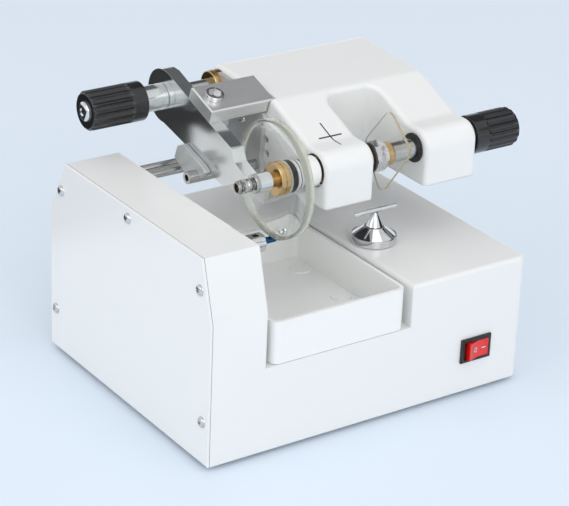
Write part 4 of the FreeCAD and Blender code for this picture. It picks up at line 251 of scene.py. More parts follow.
# %% Lens, pattern and their edges
lens_clear = finish("lens_clear", (0.97, 0.98, 0.97), (0.955, 0.97, 0.955), (0.0, 0.02),
                    cloud=20, grain=30, relief=0.0005, edge=0, transmission=1.0, ior=1.5)
lens_edge = finish("lens_ground_edge", (0.84, 0.86, 0.74), (0.78, 0.80, 0.68), (0.2, 0.28),
                   cloud=90, grain=1800, relief=0.004, edge=0, transmission=0.6, ior=1.5)
sheet_clear = finish("sheet_clear", (0.985, 0.985, 0.97), (0.97, 0.97, 0.95), (0.0, 0.03),
                     cloud=30, grain=60, relief=0.0005, edge=0, transmission=1.0, ior=1.3)
sheet_edge = finish("sheet_sawn_edge", (0.62, 0.56, 0.36), (0.45, 0.40, 0.24), (0.3, 0.5),
                    cloud=300, grain=1800, relief=0.03, edge=0, transmission=0.3)
print("clear finishes", len(bpy.data.materials))

# %% [markdown]
# ### A painted shadow along the seam, and the centring cross
# Two dark lines are mixed into a surface's finish: a painted shadow along the seam where the side
# panel meets the shell, and a plain centring cross on the head's nose. A mask made of
# comparisons on the object's own coordinates picks the places, and mixes a dark colour over the
# finish.

# %% The seam's painted shadow and the centring cross
def first_node(tree, kind):
    return next(node for node in tree.nodes if node.bl_idname == kind)


def join_masks(tree, operation, first, second):
    if first is None:
        return second
    both = put(tree, "ShaderNodeMath", {"operation": operation}, i0=first, i1=second)
    return both.outputs["Value"]


def dark_lines(material, boxes, colour):
    """Darkens the finish inside boxes of half widths (x, y, z) about middles, in millimetres."""
    tree = material.node_tree
    shader = first_node(tree, "ShaderNodeBsdfPrincipled")
    places = first_node(tree, "ShaderNodeTexCoord")
    mask = None
    for middle, half in boxes:
        offset = put(tree, "ShaderNodeVectorMath", {"operation": "SUBTRACT"},
                     i0=places.outputs["Object"], i1=bench(*middle))
        size = put(tree, "ShaderNodeVectorMath", {"operation": "ABSOLUTE"},
                   i0=offset.outputs["Vector"])
        split = put(tree, "ShaderNodeSeparateXYZ", Vector=size.outputs["Vector"])
        inside = None
        for letter, reach in zip("XYZ", half):
            near = put(tree, "ShaderNodeMath", {"operation": "LESS_THAN"},
                       i0=split.outputs[letter], i1=reach * MM)
            inside = join_masks(tree, "MULTIPLY", inside, near.outputs["Value"])
        mask = join_masks(tree, "MAXIMUM", mask, inside)
    under = shader.inputs["Base Color"].links[0].from_socket
    mix = put(tree, "ShaderNodeMixRGB", Fac=mask, Color1=under, Color2=(*colour, 1))
    tree.links.new(mix.outputs["Color"], shader.inputs["Base Color"])


SEAM_SHADOW, SEAM_SHADOW_HALF = (1.45, 88.0, 60.0), (0.22, 100.0, 100.0)
CROSS = (126.5, 73.0, 150.0)
CROSS_ALONG, CROSS_OVER = (0.45, 11.0, 9.0), (8.0, 0.5, 9.0)
# The panel's rim is darkened along the seam: a painted shadow of the gap between panel and shell.
dark_lines(panel_enamel, [(SEAM_SHADOW, SEAM_SHADOW_HALF)], (0.10, 0.10, 0.10))
dark_lines(hood_enamel, [(CROSS, CROSS_ALONG), (CROSS, CROSS_OVER)], (0.03, 0.03, 0.03))
print("seam and cross painted")

# %% [markdown]
# ### The cutter's blue shank
# The milling cutter is ground bright at its teeth and has a blue coated shank. One colour ramp
# along the tool paints both, so the change of colour sits on the steel itself.

# %% The cutter's two colours
COLOUR_CHANGE, COLOUR_FADE = 82.9, 0.3
BLUE_COAT, BARE_TEETH = (0.012, 0.10, 0.24, 1), (0.62, 0.66, 0.68, 1)
cutter_steel = finish("cutter_steel", (0.5, 0.5, 0.5), (0.4, 0.4, 0.4), (0.12, 0.26),
                      cloud=500, grain=2500, relief=0.008, edge=0.1, metallic=1.0)
cutter_tree = cutter_steel.node_tree
along = put(cutter_tree, "ShaderNodeSeparateXYZ",
            Vector=first_node(cutter_tree, "ShaderNodeTexCoord").outputs["Object"])
shank = put(cutter_tree, "ShaderNodeMapRange", Value=along.outputs["X"],
            From_Min=bench(COLOUR_CHANGE - COLOUR_FADE, 0, 0).x,
            From_Max=bench(COLOUR_CHANGE + COLOUR_FADE, 0, 0).x)
colours = put(cutter_tree, "ShaderNodeValToRGB", Fac=shank.outputs["Result"])
colours.color_ramp.elements[0].color = BLUE_COAT
colours.color_ramp.elements[1].color = BARE_TEETH
cutter_tree.links.new(colours.outputs["Color"],
                      first_node(cutter_tree, "ShaderNodeBsdfPrincipled").inputs["Base Color"])
print("cutter finish ready")

# %% [markdown]
# ## Dressing the CAD pieces
# The solids that already have the right shape stay as they are. Their meshes are loose
# triangles, which would show as facets on every round face. Three modifiers mend that without
# touching the mesh: Weld joins the triangles, a small node tree marks the sharp edges and
# smooths the rest, and Weighted Normal keeps the large flat faces flat.

# %% A node tree that smooths round faces and keeps edges sharp
def geometry_tree(name, inputs=()):
    """An empty geometry tree with a geometry socket and named size inputs."""
    tree = bpy.data.node_groups.new(name, "GeometryNodeTree")
    tree.interface.new_socket("Geometry", in_out="INPUT", socket_type="NodeSocketGeometry")
    tree.interface.new_socket("Geometry", in_out="OUTPUT", socket_type="NodeSocketGeometry")
    for label, kind in inputs:
        tree.interface.new_socket(label, in_out="INPUT", socket_type="NodeSocket" + kind)
    return tree, tree.nodes.new("NodeGroupInput"), tree.nodes.new("NodeGroupOutput")


SHARP_ANGLE = math.radians(32)
smoothing, entry, leave = geometry_tree("smooth_round_faces")
all_smooth = put(smoothing, "GeometryNodeSetShadeSmooth", {"domain": "FACE"},
                 Geometry=entry.outputs["Geometry"], Shade_Smooth=True)
bend = put(smoothing, "GeometryNodeInputMeshEdgeAngle")
steep = put(smoothing, "FunctionNodeCompare",
            {"data_type": "FLOAT", "operation": "GREATER_THAN"},
            i0=bend.outputs["Unsigned Angle"], i1=SHARP_ANGLE)
creased = put(smoothing, "GeometryNodeSetShadeSmooth", {"domain": "EDGE"},
              Geometry=all_smooth.outputs["Geometry"], Selection=steep.outputs["Result"],
              Shade_Smooth=False)
smoothing.links.new(creased.outputs["Geometry"], leave.inputs["Geometry"])


def smooth_shading(piece):
    smooth = piece.modifiers.new("smooth", "NODES")
    smooth.node_group = smoothing
    weigh = piece.modifiers.new("weigh", "WEIGHTED_NORMAL")
    weigh.keep_sharp = True


print("smoothing tree with", len(smoothing.nodes), "nodes")

# %% Which CAD node gets which finish
WELD_GAP = 0.002
DRESS = {
    "base_shell": enamel, "side_panel": panel_enamel, "head_cover": hood_enamel,
    "pivot_bracket": enamel, "bottom_plate": enamel, "chip_tray": tray_white,
    "rubber_feet": rubber, "base_screws": screw_chrome, "head_screws": screw_chrome,
    "rod_clips": steel, "switch_body": frame_black, "mains_inlet": frame_black,
    "rocker_button": rocker_red, "motor_can": motor_grey, "motor_bracket": steel,
    "drive_belt": rubber, "bearing_block": block_aluminium, "spindle_bearings": steel,
    "motor_shaft": steel, "motor_pulley": block_aluminium, "spindle_pulley": block_aluminium,
    "dial_bush": frame_black, "sleeve_bush": frame_black, "pivot_axle": steel,
    "tie_rod": steel, "rear_shaft": steel, "frame_cross_bar": steel, "guide_pin": steel,
    "rest_post": chrome, "rest_bar": chrome, "left_frame_plate": plate_grey,
    # The spindle block gets dark steel so that the holes in the hood show painted shade behind
    # them.
    "right_frame_plate": plate_grey, "spindle_block": dark_steel, "spindle_bushes": brass,
    "pattern_flange": brass, "spindle_shaft": dark_steel, "clamp_arm": zinc,
    "steady_bar": satin_aluminium, "press_sleeve": steel, "chuck_pad": rubber,
}
for node_name, material in DRESS.items():
    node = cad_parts[node_name]
    node.data.materials.clear()
    node.data.materials.append(material)
    weld = node.modifiers.new("weld", "WELD")
    weld.merge_threshold = WELD_GAP * MM
    smooth_shading(node)
print("CAD pieces dressed", len(DRESS))

# %% [markdown]
# ## Helpers for the finer pieces
# Most of the finer pieces are turned on a lathe: a profile swept round an axis gives a closed
# skin with one vertex where it meets the axis. The profile is written along the axis and out
# from it, in the drawing's millimetres.

# %% Turned pieces
AXES = {
    "X": lambda along, radius, angle, middle: bench(
        along, middle[0] + radius * math.cos(angle), middle[1] + radius * math.sin(angle)),
    "Z": lambda along, radius, angle, middle: bench(
        middle[0] + radius * math.cos(angle), middle[1] + radius * math.sin(angle), along),
}
TURN_STEPS = 96


def new_piece(name, shape, *materials):
    mesh = bpy.data.meshes.new(name)
    shape.to_mesh(mesh)
    shape.free()
    for material in materials:
        mesh.materials.append(material)
    piece = bpy.data.objects.new(name, mesh)
    bpy.context.scene.collection.objects.link(piece)
    return piece


def skin(shape, low, high, count, slot_number=0):
    """Faces between two rows of corners. A row of one corner is a pole."""
    for k in range(count):
        ring = [low[k % len(low)], low[(k + 1) % len(low)],
                high[(k + 1) % len(high)], high[k % len(high)]]
        corners = list(dict.fromkeys(ring))
        if len(corners) > 2:
            shape.faces.new(corners).material_index = slot_number


def turned_shape(profile, axis, middle, steps=TURN_STEPS, span=(0, 0)):
    """A closed skin of revolution. The rows in span take the piece's second material."""
    shape = bmesh.new()
    rows = [[shape.verts.new(AXES[axis](along_axis, radius, math.tau * k / steps, middle))
             for k in range(steps if radius > 0 else 1)] for along_axis, radius in profile]
    if profile[0][1] > 0:
        rows.append(rows[0])
    for number, (low, high) in enumerate(zip(rows, rows[1:])):
        skin(shape, low, high, steps, int(number in range(*span)))
    bmesh.ops.recalc_face_normals(shape, faces=shape.faces)
    return shape


def settle(piece, bevel=0.0, segments=2, angle=35):
    """Bevels the sharp edges, smooths the rest and turns the result into a plain mesh."""
    if bevel:
        edge = piece.modifiers.new("edge", "BEVEL")
        edge.width = bevel * MM
        edge.segments = segments
        edge.limit_method = "ANGLE"
        edge.angle_limit = math.radians(angle)
    smooth_shading(piece)
    return plain(piece)


def plain(piece):
    """The evaluated shape becomes the piece's own mesh, and its modifiers go."""
    depsgraph = bpy.context.evaluated_depsgraph_get()
    mesh = bpy.data.meshes.new_from_object(piece.evaluated_get(depsgraph))
    mesh.name = piece.name
    piece.modifiers.clear()
    piece.data = mesh
    return piece


def fit(piece, body, slot, *replaced):
    """The piece rides on its body and stands for its CAD nodes. The slot argument is not used."""
    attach(piece, body)
    if replaced:
        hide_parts(*replaced)
    print(piece.name, "rides on", body, "with", len(piece.data.polygons), "faces")


print("helpers ready")

# %% [markdown]
# ## The fluted knobs
# Both knobs are moulded with sixteen long flutes that start behind a smooth collar. Modelling
# one sixteenth of the skin is enough: a node tree turns copies of it round the axis, welds
# them and gives them their material. The skin of that sector follows a rule: the radius is
# the knob's, less the depth of a round-bottomed flute that fades in behind the collar.

# %% A tree that turns copies of one sector round the X axis
def close_tree(tree, entry, leave, *parts):
    """Joins the parts, makes copies real, gives them their material and ends the tree."""
    joined = put(tree, "GeometryNodeJoinGeometry")
    for part in parts:
        tree.links.new(part, joined.inputs["Geometry"])
    real = put(tree, "GeometryNodeRealizeInstances", Geometry=joined.outputs["Geometry"])
    skinned = put(tree, "GeometryNodeSetMaterial", Geometry=real.outputs["Geometry"],
                  Material=entry.outputs["Material"])
    tree.links.new(skinned.outputs["Geometry"], leave.inputs["Geometry"])
    print(tree.name, "has", len(tree.nodes), "nodes")


def run_tree(piece, tree, **sizes):
    """Adds the tree to the piece, sets its named inputs and keeps the result as a mesh."""
    modifier = piece.modifiers.new("tree", "NODES")
    modifier.node_group = tree
    for item in tree.interface.items_tree:
        if item.in_out == "INPUT" and item.name in sizes:
            modifier[item.identifier] = sizes[item.name]
    return plain(piece)


round_tree, entry, leave = geometry_tree("turn_round", [
    ("Count", "Int"), ("Place", "Vector"), ("Material", "Material")])
stations = put(round_tree, "GeometryNodePoints", Count=entry.outputs["Count"])
number = put(round_tree, "GeometryNodeInputIndex")
step = put(round_tree, "ShaderNodeMath", {"operation": "DIVIDE"}, i0=math.tau,
           i1=entry.outputs["Count"])
turn = put(round_tree, "ShaderNodeMath", {"operation": "MULTIPLY"},
           i0=number.outputs["Index"], i1=step.outputs["Value"])
spin = put(round_tree, "ShaderNodeCombineXYZ", X=turn.outputs["Value"])
euler = put(round_tree, "FunctionNodeEulerToRotation", Euler=spin.outputs["Vector"])
copies = put(round_tree, "GeometryNodeInstanceOnPoints", Points=stations.outputs["Points"],
             Instance=entry.outputs["Geometry"], Rotation=euler.outputs["Rotation"])
loose = put(round_tree, "GeometryNodeRealizeInstances", Geometry=copies.outputs["Instances"])
welded = put(round_tree, "GeometryNodeMergeByDistance", Geometry=loose.outputs["Geometry"],
             Distance=WELD_GAP * MM)
moved = put(round_tree, "GeometryNodeTransform", Geometry=welded.outputs["Geometry"],
            Translation=entry.outputs["Place"])
close_tree(round_tree, entry, leave, moved.outputs["Geometry"])

# %% One sector of the knob's skin
FLUTES = 16
KNOB_RADIUS, KNOB_COLLAR, KNOB_ROUND = 12.0, 9.0, 2.5
FLUTE_DEPTH, FLUTE_RADIUS, FLUTE_RUN = 1.3, 2.1, 1.6
SECTOR_COLUMNS = 16


def flute_radius(angle, share):
    """How far out the skin lies at this angle from the middle of a flute."""
    centre = KNOB_RADIUS - FLUTE_DEPTH + FLUTE_RADIUS + (1 - share) * FLUTE_DEPTH
    offset = centre * math.sin(angle)
    if share <= 0 or abs(offset) >= FLUTE_RADIUS:
        return KNOB_RADIUS
    return min(KNOB_RADIUS, centre * math.cos(angle) - math.sqrt(FLUTE_RADIUS**2 - offset**2))


def knob_profile(length, bore, depth, seat=6.05, recess=1.5, lip=0.5):
    """Stations along the knob as (along, radius, share of the flute's depth)."""
    rows = [(depth, 0, 0), (depth, bore, 0), (0, bore, 0), (0, KNOB_RADIUS - lip, 0),
            (lip * 0.3, KNOB_RADIUS - lip * 0.3, 0), (lip, KNOB_RADIUS, 0)]
    rows += [(KNOB_COLLAR * k / 4, KNOB_RADIUS, 0) for k in range(1, 4)]
    rows += [(KNOB_COLLAR + FLUTE_RUN * k / 6, KNOB_RADIUS, math.sin(math.pi / 2 * k / 6))
             for k in range(7)]
    straight = length - KNOB_ROUND
    rows += [(KNOB_COLLAR + FLUTE_RUN + (straight - KNOB_COLLAR - FLUTE_RUN) * k / 8,
              KNOB_RADIUS, 1) for k in range(1, 9)]
    rows += [(straight + KNOB_ROUND * math.sin(math.pi / 2 * k / 7),
              KNOB_RADIUS - KNOB_ROUND * (1 - math.cos(math.pi / 2 * k / 7)), 1)
             for k in range(1, 8)]
    rows += [(length, seat + 0.5, 0), (length - 0.15, seat, 0), (length - recess, seat, 0),
             (length - recess, 0, 0)]
    return rows


def sector_row(shape, along_axis, radii, angles):
    """Corners across one sector about the X axis, or its pole where there are no radii."""
    return [shape.verts.new(Vector((along_axis, out * math.cos(angle),
                                    out * math.sin(angle))) * MM)
            for out, angle in zip(radii or [0], angles)]


def knob_sector(name, length, bore, depth, facing):
    half = math.pi / FLUTES
    angles = [half * (2 * k / SECTOR_COLUMNS - 1) for k in range(SECTOR_COLUMNS + 1)]
    shape = bmesh.new()
    rows = []
    for along_axis, radius, share in knob_profile(length, bore, depth):
        radii = [min(radius, flute_radius(angle, share)) for angle in angles] if radius else []
        rows.append(sector_row(shape, along_axis * facing, radii, angles))
    for pair in zip(rows, rows[1:]):
        skin(shape, *(pair if facing < 0 else pair[::-1]), SECTOR_COLUMNS)
    return new_piece(name, shape)


print("sector rule ready for", FLUTES, "flutes")

# %% The two knobs and their polished caps
CAP_PROFILE = [(-1.5, 0), (-1.5, 6.0), (0.5, 6.0), (0.95, 5.75), (1.35, 5.25), (1.7, 4.5),
               (1.92, 3.7), (2.0, 3.1), (1.9, 2.5), (1.55, 1.9), (1.35, 1.2), (1.3, 0)]
KNOBS = [("clamp", 52.4, -1, 36.7, 5.05, 32.7, REAR_SHAFT, "clamp_screw"),
         ("spindle", 219.0, 1, 33.0, 6.15, 22.0, SPINDLE, "press_knob")]
for kind, face, facing, length, bore, depth, axis, body in KNOBS:
    knob = knob_sector(kind + "_fluted_knob", length, bore, depth, facing)
    run_tree(knob, round_tree, Count=FLUTES, Place=bench(face, *axis), Material=knob_black)
    fit(settle(knob), body, "knob_black", kind + "_knob")
    cap_rows = [(face + facing * (length + along_axis), radius)
                for along_axis, radius in CAP_PROFILE]
    cap = new_piece(kind + "_polished_cap", turned_shape(cap_rows, "X", axis, 64), chrome)
    fit(settle(cap), body, "chrome", kind + "_knob_cap")

# %% The polished sleeve behind the clamp knob, and the collar on the shaft
SHAFT_HOLE = 5.05
SLEEVE_LEFT, SLEEVE_RIGHT, SLEEVE_RADIUS, SLEEVE_BREAK = 52.4, 68.4, 8.0, 0.4
GROOVE_LEFT, GROOVE_WIDTH, GROOVE_SIDE = 64.4, 0.8, 0.2
GROOVE_FLOOR = SLEEVE_RADIUS - SLEEVE_BREAK
sleeve_rows = [(SLEEVE_LEFT, SHAFT_HOLE), (SLEEVE_LEFT, SLEEVE_RADIUS),
               (GROOVE_LEFT, SLEEVE_RADIUS), (GROOVE_LEFT + GROOVE_SIDE, GROOVE_FLOOR),
               (GROOVE_LEFT + GROOVE_WIDTH - GROOVE_SIDE, GROOVE_FLOOR),
               (GROOVE_LEFT + GROOVE_WIDTH, SLEEVE_RADIUS),
               (SLEEVE_RIGHT - SLEEVE_BREAK, SLEEVE_RADIUS), (SLEEVE_RIGHT, GROOVE_FLOOR),
               (SLEEVE_RIGHT, SHAFT_HOLE)]
sleeve = new_piece("polished_sleeve", turned_shape(sleeve_rows, "X", REAR_SHAFT), zinc)
fit(settle(sleeve), "clamp_screw", "chrome", "clamp_sleeve")
collar_rows = [(101.0, SHAFT_HOLE), (101.0, 9.0), (101.5, 9.5), (103.2, 9.5), (103.4, 9.0),
               (103.9, 9.0), (104.1, 9.7), (108.4, 9.7), (108.4, 9.5), (104.9, 9.5),
               (104.9, SHAFT_HOLE)]
collar = new_piece("brass_collar", turned_shape(collar_rows, "X", REAR_SHAFT), brass)
fit(settle(collar), "head", "brass", "shaft_collar")

# %% [markdown]
# ## The lens and its holders
# The lens blank is a meniscus: both faces are parts of large balls, hollow towards the chuck.
# A white holder is stuck on its front, a brass chuck with a knurled ring and a rubber pad
# presses on its back. All of them are turned shapes, so each is one profile.

# %% The lens blank
LENS_RADIUS, LENS_CURVE, LENS_HOLLOW = 35.0, 66.25, 52.1
LENS_OUTER, LENS_INNER = 94.5, 92.0
EDGE_BREAK, LENS_ROWS = 0.3, 16


def bowl(face, curve, radius):
    """How far along the axis a ball-shaped face lies at this radius."""
    return face - curve + math.sqrt(curve**2 - radius**2)


def lens_face(face, curve):
    """Rows of one face, from its middle to where the edge is broken."""
    rims = [LENS_RADIUS * k / LENS_ROWS for k in range(LENS_ROWS)] + [LENS_RADIUS - EDGE_BREAK]
    return [(bowl(face, curve, radius), radius) for radius in rims]


front, back = lens_face(LENS_OUTER, LENS_CURVE), lens_face(LENS_INNER, LENS_HOLLOW)
edge_rows = [(front[-1][0] - EDGE_BREAK, LENS_RADIUS), (back[-1][0] + EDGE_BREAK, LENS_RADIUS)]
lens_shape = turned_shape(front + edge_rows + back[::-1], "X", SPINDLE, 128,
                          (len(front) - 1, len(front) + 2))
lens_blank = new_piece("lens_blank", lens_shape, lens_clear, lens_edge)
# A clear blank throws hardly any shadow, and a renderer's straight shadow rays don't know that.
lens_blank.visible_shadow = False
fit(settle(lens_blank), "lens_spindle", "lens_glass", "lens")

# %% The white holder on the lens
HOLDER, HOLDER_GROOVE = 9.0, 8.1
cup = [(bowl(LENS_OUTER, LENS_CURVE + 0.2, r) + 0.2, r) for r in (0, 2, 4, 6, 8, 8.8)]
holder_rows = cup + [(94.35, HOLDER), (97.4, HOLDER), (97.55, HOLDER_GROOVE),
                     (98.5, HOLDER_GROOVE), (98.65, HOLDER), (107.3, HOLDER),
                     (107.8, HOLDER - 0.5), (107.8, SHAFT_HOLE), (99.2, SHAFT_HOLE), (99.2, 0)]
# The groove's rows take the second material, which paints shade into the groove.
holder_shape = turned_shape(holder_rows, "X", SPINDLE, span=(len(cup) + 1, len(cup) + 4))
holder = new_piece("lens_holder", holder_shape, holder_white, groove_dark)
fit(settle(holder), "lens_spindle", "white_holder", "pad_holder")

# %% The brass disc behind the lens
disc_rows = [(61.0, 0), (61.0, 2.5), (77.0, 2.5), (77.0, 4.3), (80.0, 4.3), (80.0, 9.4),
             (80.5, 9.9), (82.6, 10.0), (82.8, 9.6), (83.2, 9.6), (83.4, 10.0), (85.9, 10.0),
             (86.4, 9.5), (86.4, 0)]
disc = new_piece("brass_disc", turned_shape(disc_rows, "X", SPINDLE), brass)
fit(settle(disc), "chuck", "brass", "chuck_disc")

# %% [markdown]
# ## The knurled ring
# Between the brass disc and the rubber pad sits a pale ring with fine ribs, so that fingers
# can turn it. It is sixty copies of one small rib, turned by the same tree as the knobs.

# %% One rib of the ring, sixty times round
RIBS = 60
RING_LEFT, RING_WIDTH, RING_RADIUS, RIB_DEPTH = 86.4, 1.6, 9.75, 0.55
RING_BREAK, RING_SINK = 0.25, 0.4
rib_half = math.pi / RIBS
rib_angles = [rib_half * share for share in (-1, -0.6, -0.25, 0.25, 0.6, 1)]
rib_radii = [RING_RADIUS - RIB_DEPTH * dip for dip in (1, 0.35, 0, 0, 0.35, 1)]
sunk_radii = [out - RING_SINK for out in rib_radii]
shape = bmesh.new()
rows = [sector_row(shape, along_axis, radii, rib_angles)
        for along_axis, radii in ((0, []), (0, sunk_radii), (RING_BREAK, rib_radii),
                                  (RING_WIDTH - RING_BREAK, rib_radii),
                                  (RING_WIDTH, sunk_radii), (RING_WIDTH, []))]
for low, high in zip(rows, rows[1:]):
    skin(shape, high, low, len(rib_angles) - 1)
ring_piece = new_piece("knurled_chuck_ring", shape)
run_tree(ring_piece, round_tree, Count=RIBS, Place=bench(RING_LEFT, *SPINDLE),
         Material=ring_plastic)
fit(settle(ring_piece), "chuck", "ring_plastic", "chuck_ring")

# %% [markdown]
# ## Threads and flutes that follow a path
# The hollow stud through the arm is threaded, and the small cutter has spiral flutes. Both
# follow a path: the thread is a helix with a three-sided section, and the cutter is a star
# section that turns as it goes along a line.

# %% A tree for a thread on a core
thread_tree, entry, leave = geometry_tree("thread", [
    ("Turns", "Float"), ("Radius", "Float"), ("Length", "Float"), ("Tooth", "Float"),
    ("Place", "Vector"), ("Material", "Material")])
helix = put(thread_tree, "GeometryNodeCurveSpiral", Resolution=24,
            Rotations=entry.outputs["Turns"], Start_Radius=entry.outputs["Radius"],
            End_Radius=entry.outputs["Radius"], Height=entry.outputs["Length"])
tooth = put(thread_tree, "GeometryNodeCurvePrimitiveCircle", {"mode": "RADIUS"},
            Resolution=3, Radius=entry.outputs["Tooth"])
ridge = put(thread_tree, "GeometryNodeCurveToMesh", Curve=helix.outputs["Curve"],
            Profile_Curve=tooth.outputs["Curve"], Fill_Caps=True)
laid = put(thread_tree, "GeometryNodeTransform", Geometry=ridge.outputs["Mesh"],
           Translation=entry.outputs["Place"], Rotation=(0.0, math.pi / 2, 0.0))
close_tree(thread_tree, entry, leave, entry.outputs["Geometry"], laid.outputs["Geometry"])

# %% The hollow threaded stud
STUD_LEFT, STUD_RIGHT, STUD_RADIUS, STUD_BORE, STUD_CORE = 55.0, 76.7, 3.85, 2.55, 3.1
BOSS_LEFT, BOSS_RIGHT, BOSS_RADIUS = 66.0, 68.4, 5.5
STUD_BREAK = 0.4
stud_rows = [(STUD_LEFT, STUD_BORE + 0.3), (STUD_LEFT, STUD_CORE - 0.3),
             (STUD_LEFT + STUD_BREAK, STUD_CORE), (BOSS_LEFT, STUD_CORE),
             (BOSS_LEFT, BOSS_RADIUS - STUD_BREAK), (BOSS_LEFT + STUD_BREAK, BOSS_RADIUS),
             (BOSS_RIGHT, BOSS_RADIUS), (BOSS_RIGHT, STUD_RADIUS), (STUD_RIGHT, STUD_RADIUS),
             (STUD_RIGHT, STUD_BORE), (STUD_LEFT + STUD_BREAK, STUD_BORE)]
stud = new_piece("threaded_stud", turned_shape(stud_rows, "X", SPINDLE, 48), steel)
run_tree(stud, thread_tree, Turns=7.0, Radius=3.4 * MM, Length=9.8 * MM, Tooth=0.75 * MM,
         Place=bench(STUD_LEFT + 0.8, *SPINDLE), Material=steel)
fit(settle(stud), "clamp", "rod_steel", "chuck_stud")

# %% A tree for a fluted bar, and the milling cutter
flute_tree, entry, leave = geometry_tree("spiral_flutes", [
    ("Start", "Vector"), ("End", "Vector"), ("Outer", "Float"), ("Inner", "Float"),
    ("Lead", "Float"), ("Material", "Material")])
line = put(flute_tree, "GeometryNodeCurvePrimitiveLine", {"mode": "POINTS"},
           Start=entry.outputs["Start"], End=entry.outputs["End"])
fine_line = put(flute_tree, "GeometryNodeResampleCurve", Curve=line.outputs["Curve"], Count=40)
factor = put(flute_tree, "GeometryNodeSplineParameter")
twist = put(flute_tree, "ShaderNodeMath", {"operation": "MULTIPLY"},
            i0=factor.outputs["Factor"], i1=entry.outputs["Lead"])
tilted = put(flute_tree, "GeometryNodeSetCurveTilt", Curve=fine_line.outputs["Curve"],
             Tilt=twist.outputs["Value"])
star = put(flute_tree, "GeometryNodeCurveStar", Points=4, Inner_Radius=entry.outputs["Inner"],
           Outer_Radius=entry.outputs["Outer"], Twist=0.5)
bar = put(flute_tree, "GeometryNodeCurveToMesh", Curve=tilted.outputs["Curve"],
          Profile_Curve=star.outputs["Curve"], Fill_Caps=True)
close_tree(flute_tree, entry, leave, entry.outputs["Geometry"], bar.outputs["Mesh"])

CUTTER_START, CUTTER_TEETH, CUTTER_TIP, CUTTER_RADIUS = 66.05, 83.0, 93.4, 2.0
shank_rows = [(CUTTER_START, 0), (CUTTER_START, CUTTER_RADIUS), (CUTTER_TEETH, CUTTER_RADIUS),
              (CUTTER_TEETH, 0)]
cutter = new_piece("spiral_cutter", turned_shape(shank_rows, "X", CUTTER_AXIS, 32), cutter_steel)
run_tree(cutter, flute_tree, Start=bench(CUTTER_TEETH - 0.05, *CUTTER_AXIS),
         End=bench(CUTTER_TIP, *CUTTER_AXIS), Outer=CUTTER_RADIUS * MM, Inner=1.05 * MM,
         Lead=math.tau * 0.8, Material=cutter_steel)
fit(settle(cutter), "cutter", "cutter_steel", "milling_cutter")

# %% [markdown]
# ## The size dial
# The dial is one chromed turning: a low rim with a lip, and a polished cone inside it. Its
# smooth curve matters more than its facets, because chrome draws every facet as a line.

# %% The chromed dial
DIAL_BOTTOM = 79.3
dial_rows = [(0, 3.6), (0, 13.4), (0.15, 13.75), (0.5, 13.9), (4.0, 13.9), (4.35, 13.8),
             (4.5, 13.5), (4.45, 13.2), (4.2, 12.9), (4.35, 12.6), (9.2, 6.2), (9.45, 5.9),
             (9.5, 5.5), (9.5, 3.6)]
dial_rows = [(DIAL_BOTTOM + height, radius) for height, radius in dial_rows]
dial = new_piece("chromed_dial", turned_shape(dial_rows, "Z", DIAL_AXIS, 128), chrome)
fit(settle(dial), "dial", "chrome", "size_dial")

# %% [markdown]
# ## The spindle's nut
# A hexagon nut is a prism whose corners were turned off, so it is the overlap of a prism and
# a turned shape, which is what a Boolean modifier computes.

# %% The chamfered spindle nut
def extruded(outline, left, right, side_slot=0):
    """A prism along X over a closed outline of (depth, height) points."""
    shape = bmesh.new()
    ends = [[shape.verts.new(bench(along_axis, *point)) for point in outline]
            for along_axis in (left, right)]
    for end in ends:
        shape.faces.new(end)
    skin(shape, *ends, len(outline), side_slot)
    bmesh.ops.recalc_face_normals(shape, faces=shape.faces)
    return shape


def boolean(piece, tool, operation):
    """Cuts the piece with a tool, or keeps only their overlap, and removes the tool."""
    modifier = piece.modifiers.new("cut", "BOOLEAN")
    modifier.operation = operation
    modifier.solver = "EXACT"
    modifier.object = tool
    plain(piece)
    bpy.data.objects.remove(tool)


NUT_LEFT, NUT_RIGHT, NUT_FLATS = 147.5, 156.5, 16.0
NUT_END, NUT_GIRTH, NUT_CHAMFER = 7.9, 9.25, 0.9
corner = NUT_FLATS / 2 / math.cos(math.pi / 6)
hexagon = [(SPINDLE[0] + corner * math.cos(math.tau * k / 6),
            SPINDLE[1] + corner * math.sin(math.tau * k / 6)) for k in range(6)]
nut = new_piece("chamfered_nut", extruded(hexagon, NUT_LEFT, NUT_RIGHT), screw_chrome)
round_rows = [(NUT_LEFT, SHAFT_HOLE), (NUT_LEFT, NUT_END), (NUT_LEFT + NUT_CHAMFER, NUT_GIRTH),
              (NUT_RIGHT - NUT_CHAMFER, NUT_GIRTH), (NUT_RIGHT, NUT_END),
              (NUT_RIGHT, SHAFT_HOLE)]
boolean(nut, new_piece("nut_round", turned_shape(round_rows, "X", SPINDLE, 64)), "INTERSECT")
fit(settle(nut, bevel=0.12), "lens_spindle", "chrome", "spindle_nut")

# %% [markdown]
# ## The cutter's chuck
# A slim chromed bar runs from the bearings to the cutter. Its end is milled flat on top, and a
# small dark screw goes down through the flat and holds the cutter's shank. A turned shape
# gives the bar, and two cuts give the flat and the screw's hole, as the workshop does it.

# %% The slim chuck that holds the cutter
CHUCK_LEFT, CHUCK_RIGHT, CHUCK_RADIUS, CHUCK_FLAT = 38.3, 74.0, 5.75, 4.9
CHUCK_STEM, CHUCK_BREAK, SHANK_HOLE = (4.0, 4.0), 0.7, 2.05
chuck_rows = [(CHUCK_STEM[0], 0), CHUCK_STEM, (CHUCK_LEFT, CHUCK_STEM[1]),
              (CHUCK_LEFT, CHUCK_RADIUS - CHUCK_BREAK), (CHUCK_LEFT + CHUCK_BREAK, CHUCK_RADIUS),
              (CHUCK_RIGHT - CHUCK_BREAK, CHUCK_RADIUS),
              (CHUCK_RIGHT, CHUCK_RADIUS - CHUCK_BREAK), (CHUCK_RIGHT, SHANK_HOLE),
              (66.0, SHANK_HOLE), (66.0, 0)]
chuck = new_piece("slim_chuck", turned_shape(chuck_rows, "X", CUTTER_AXIS), chrome)


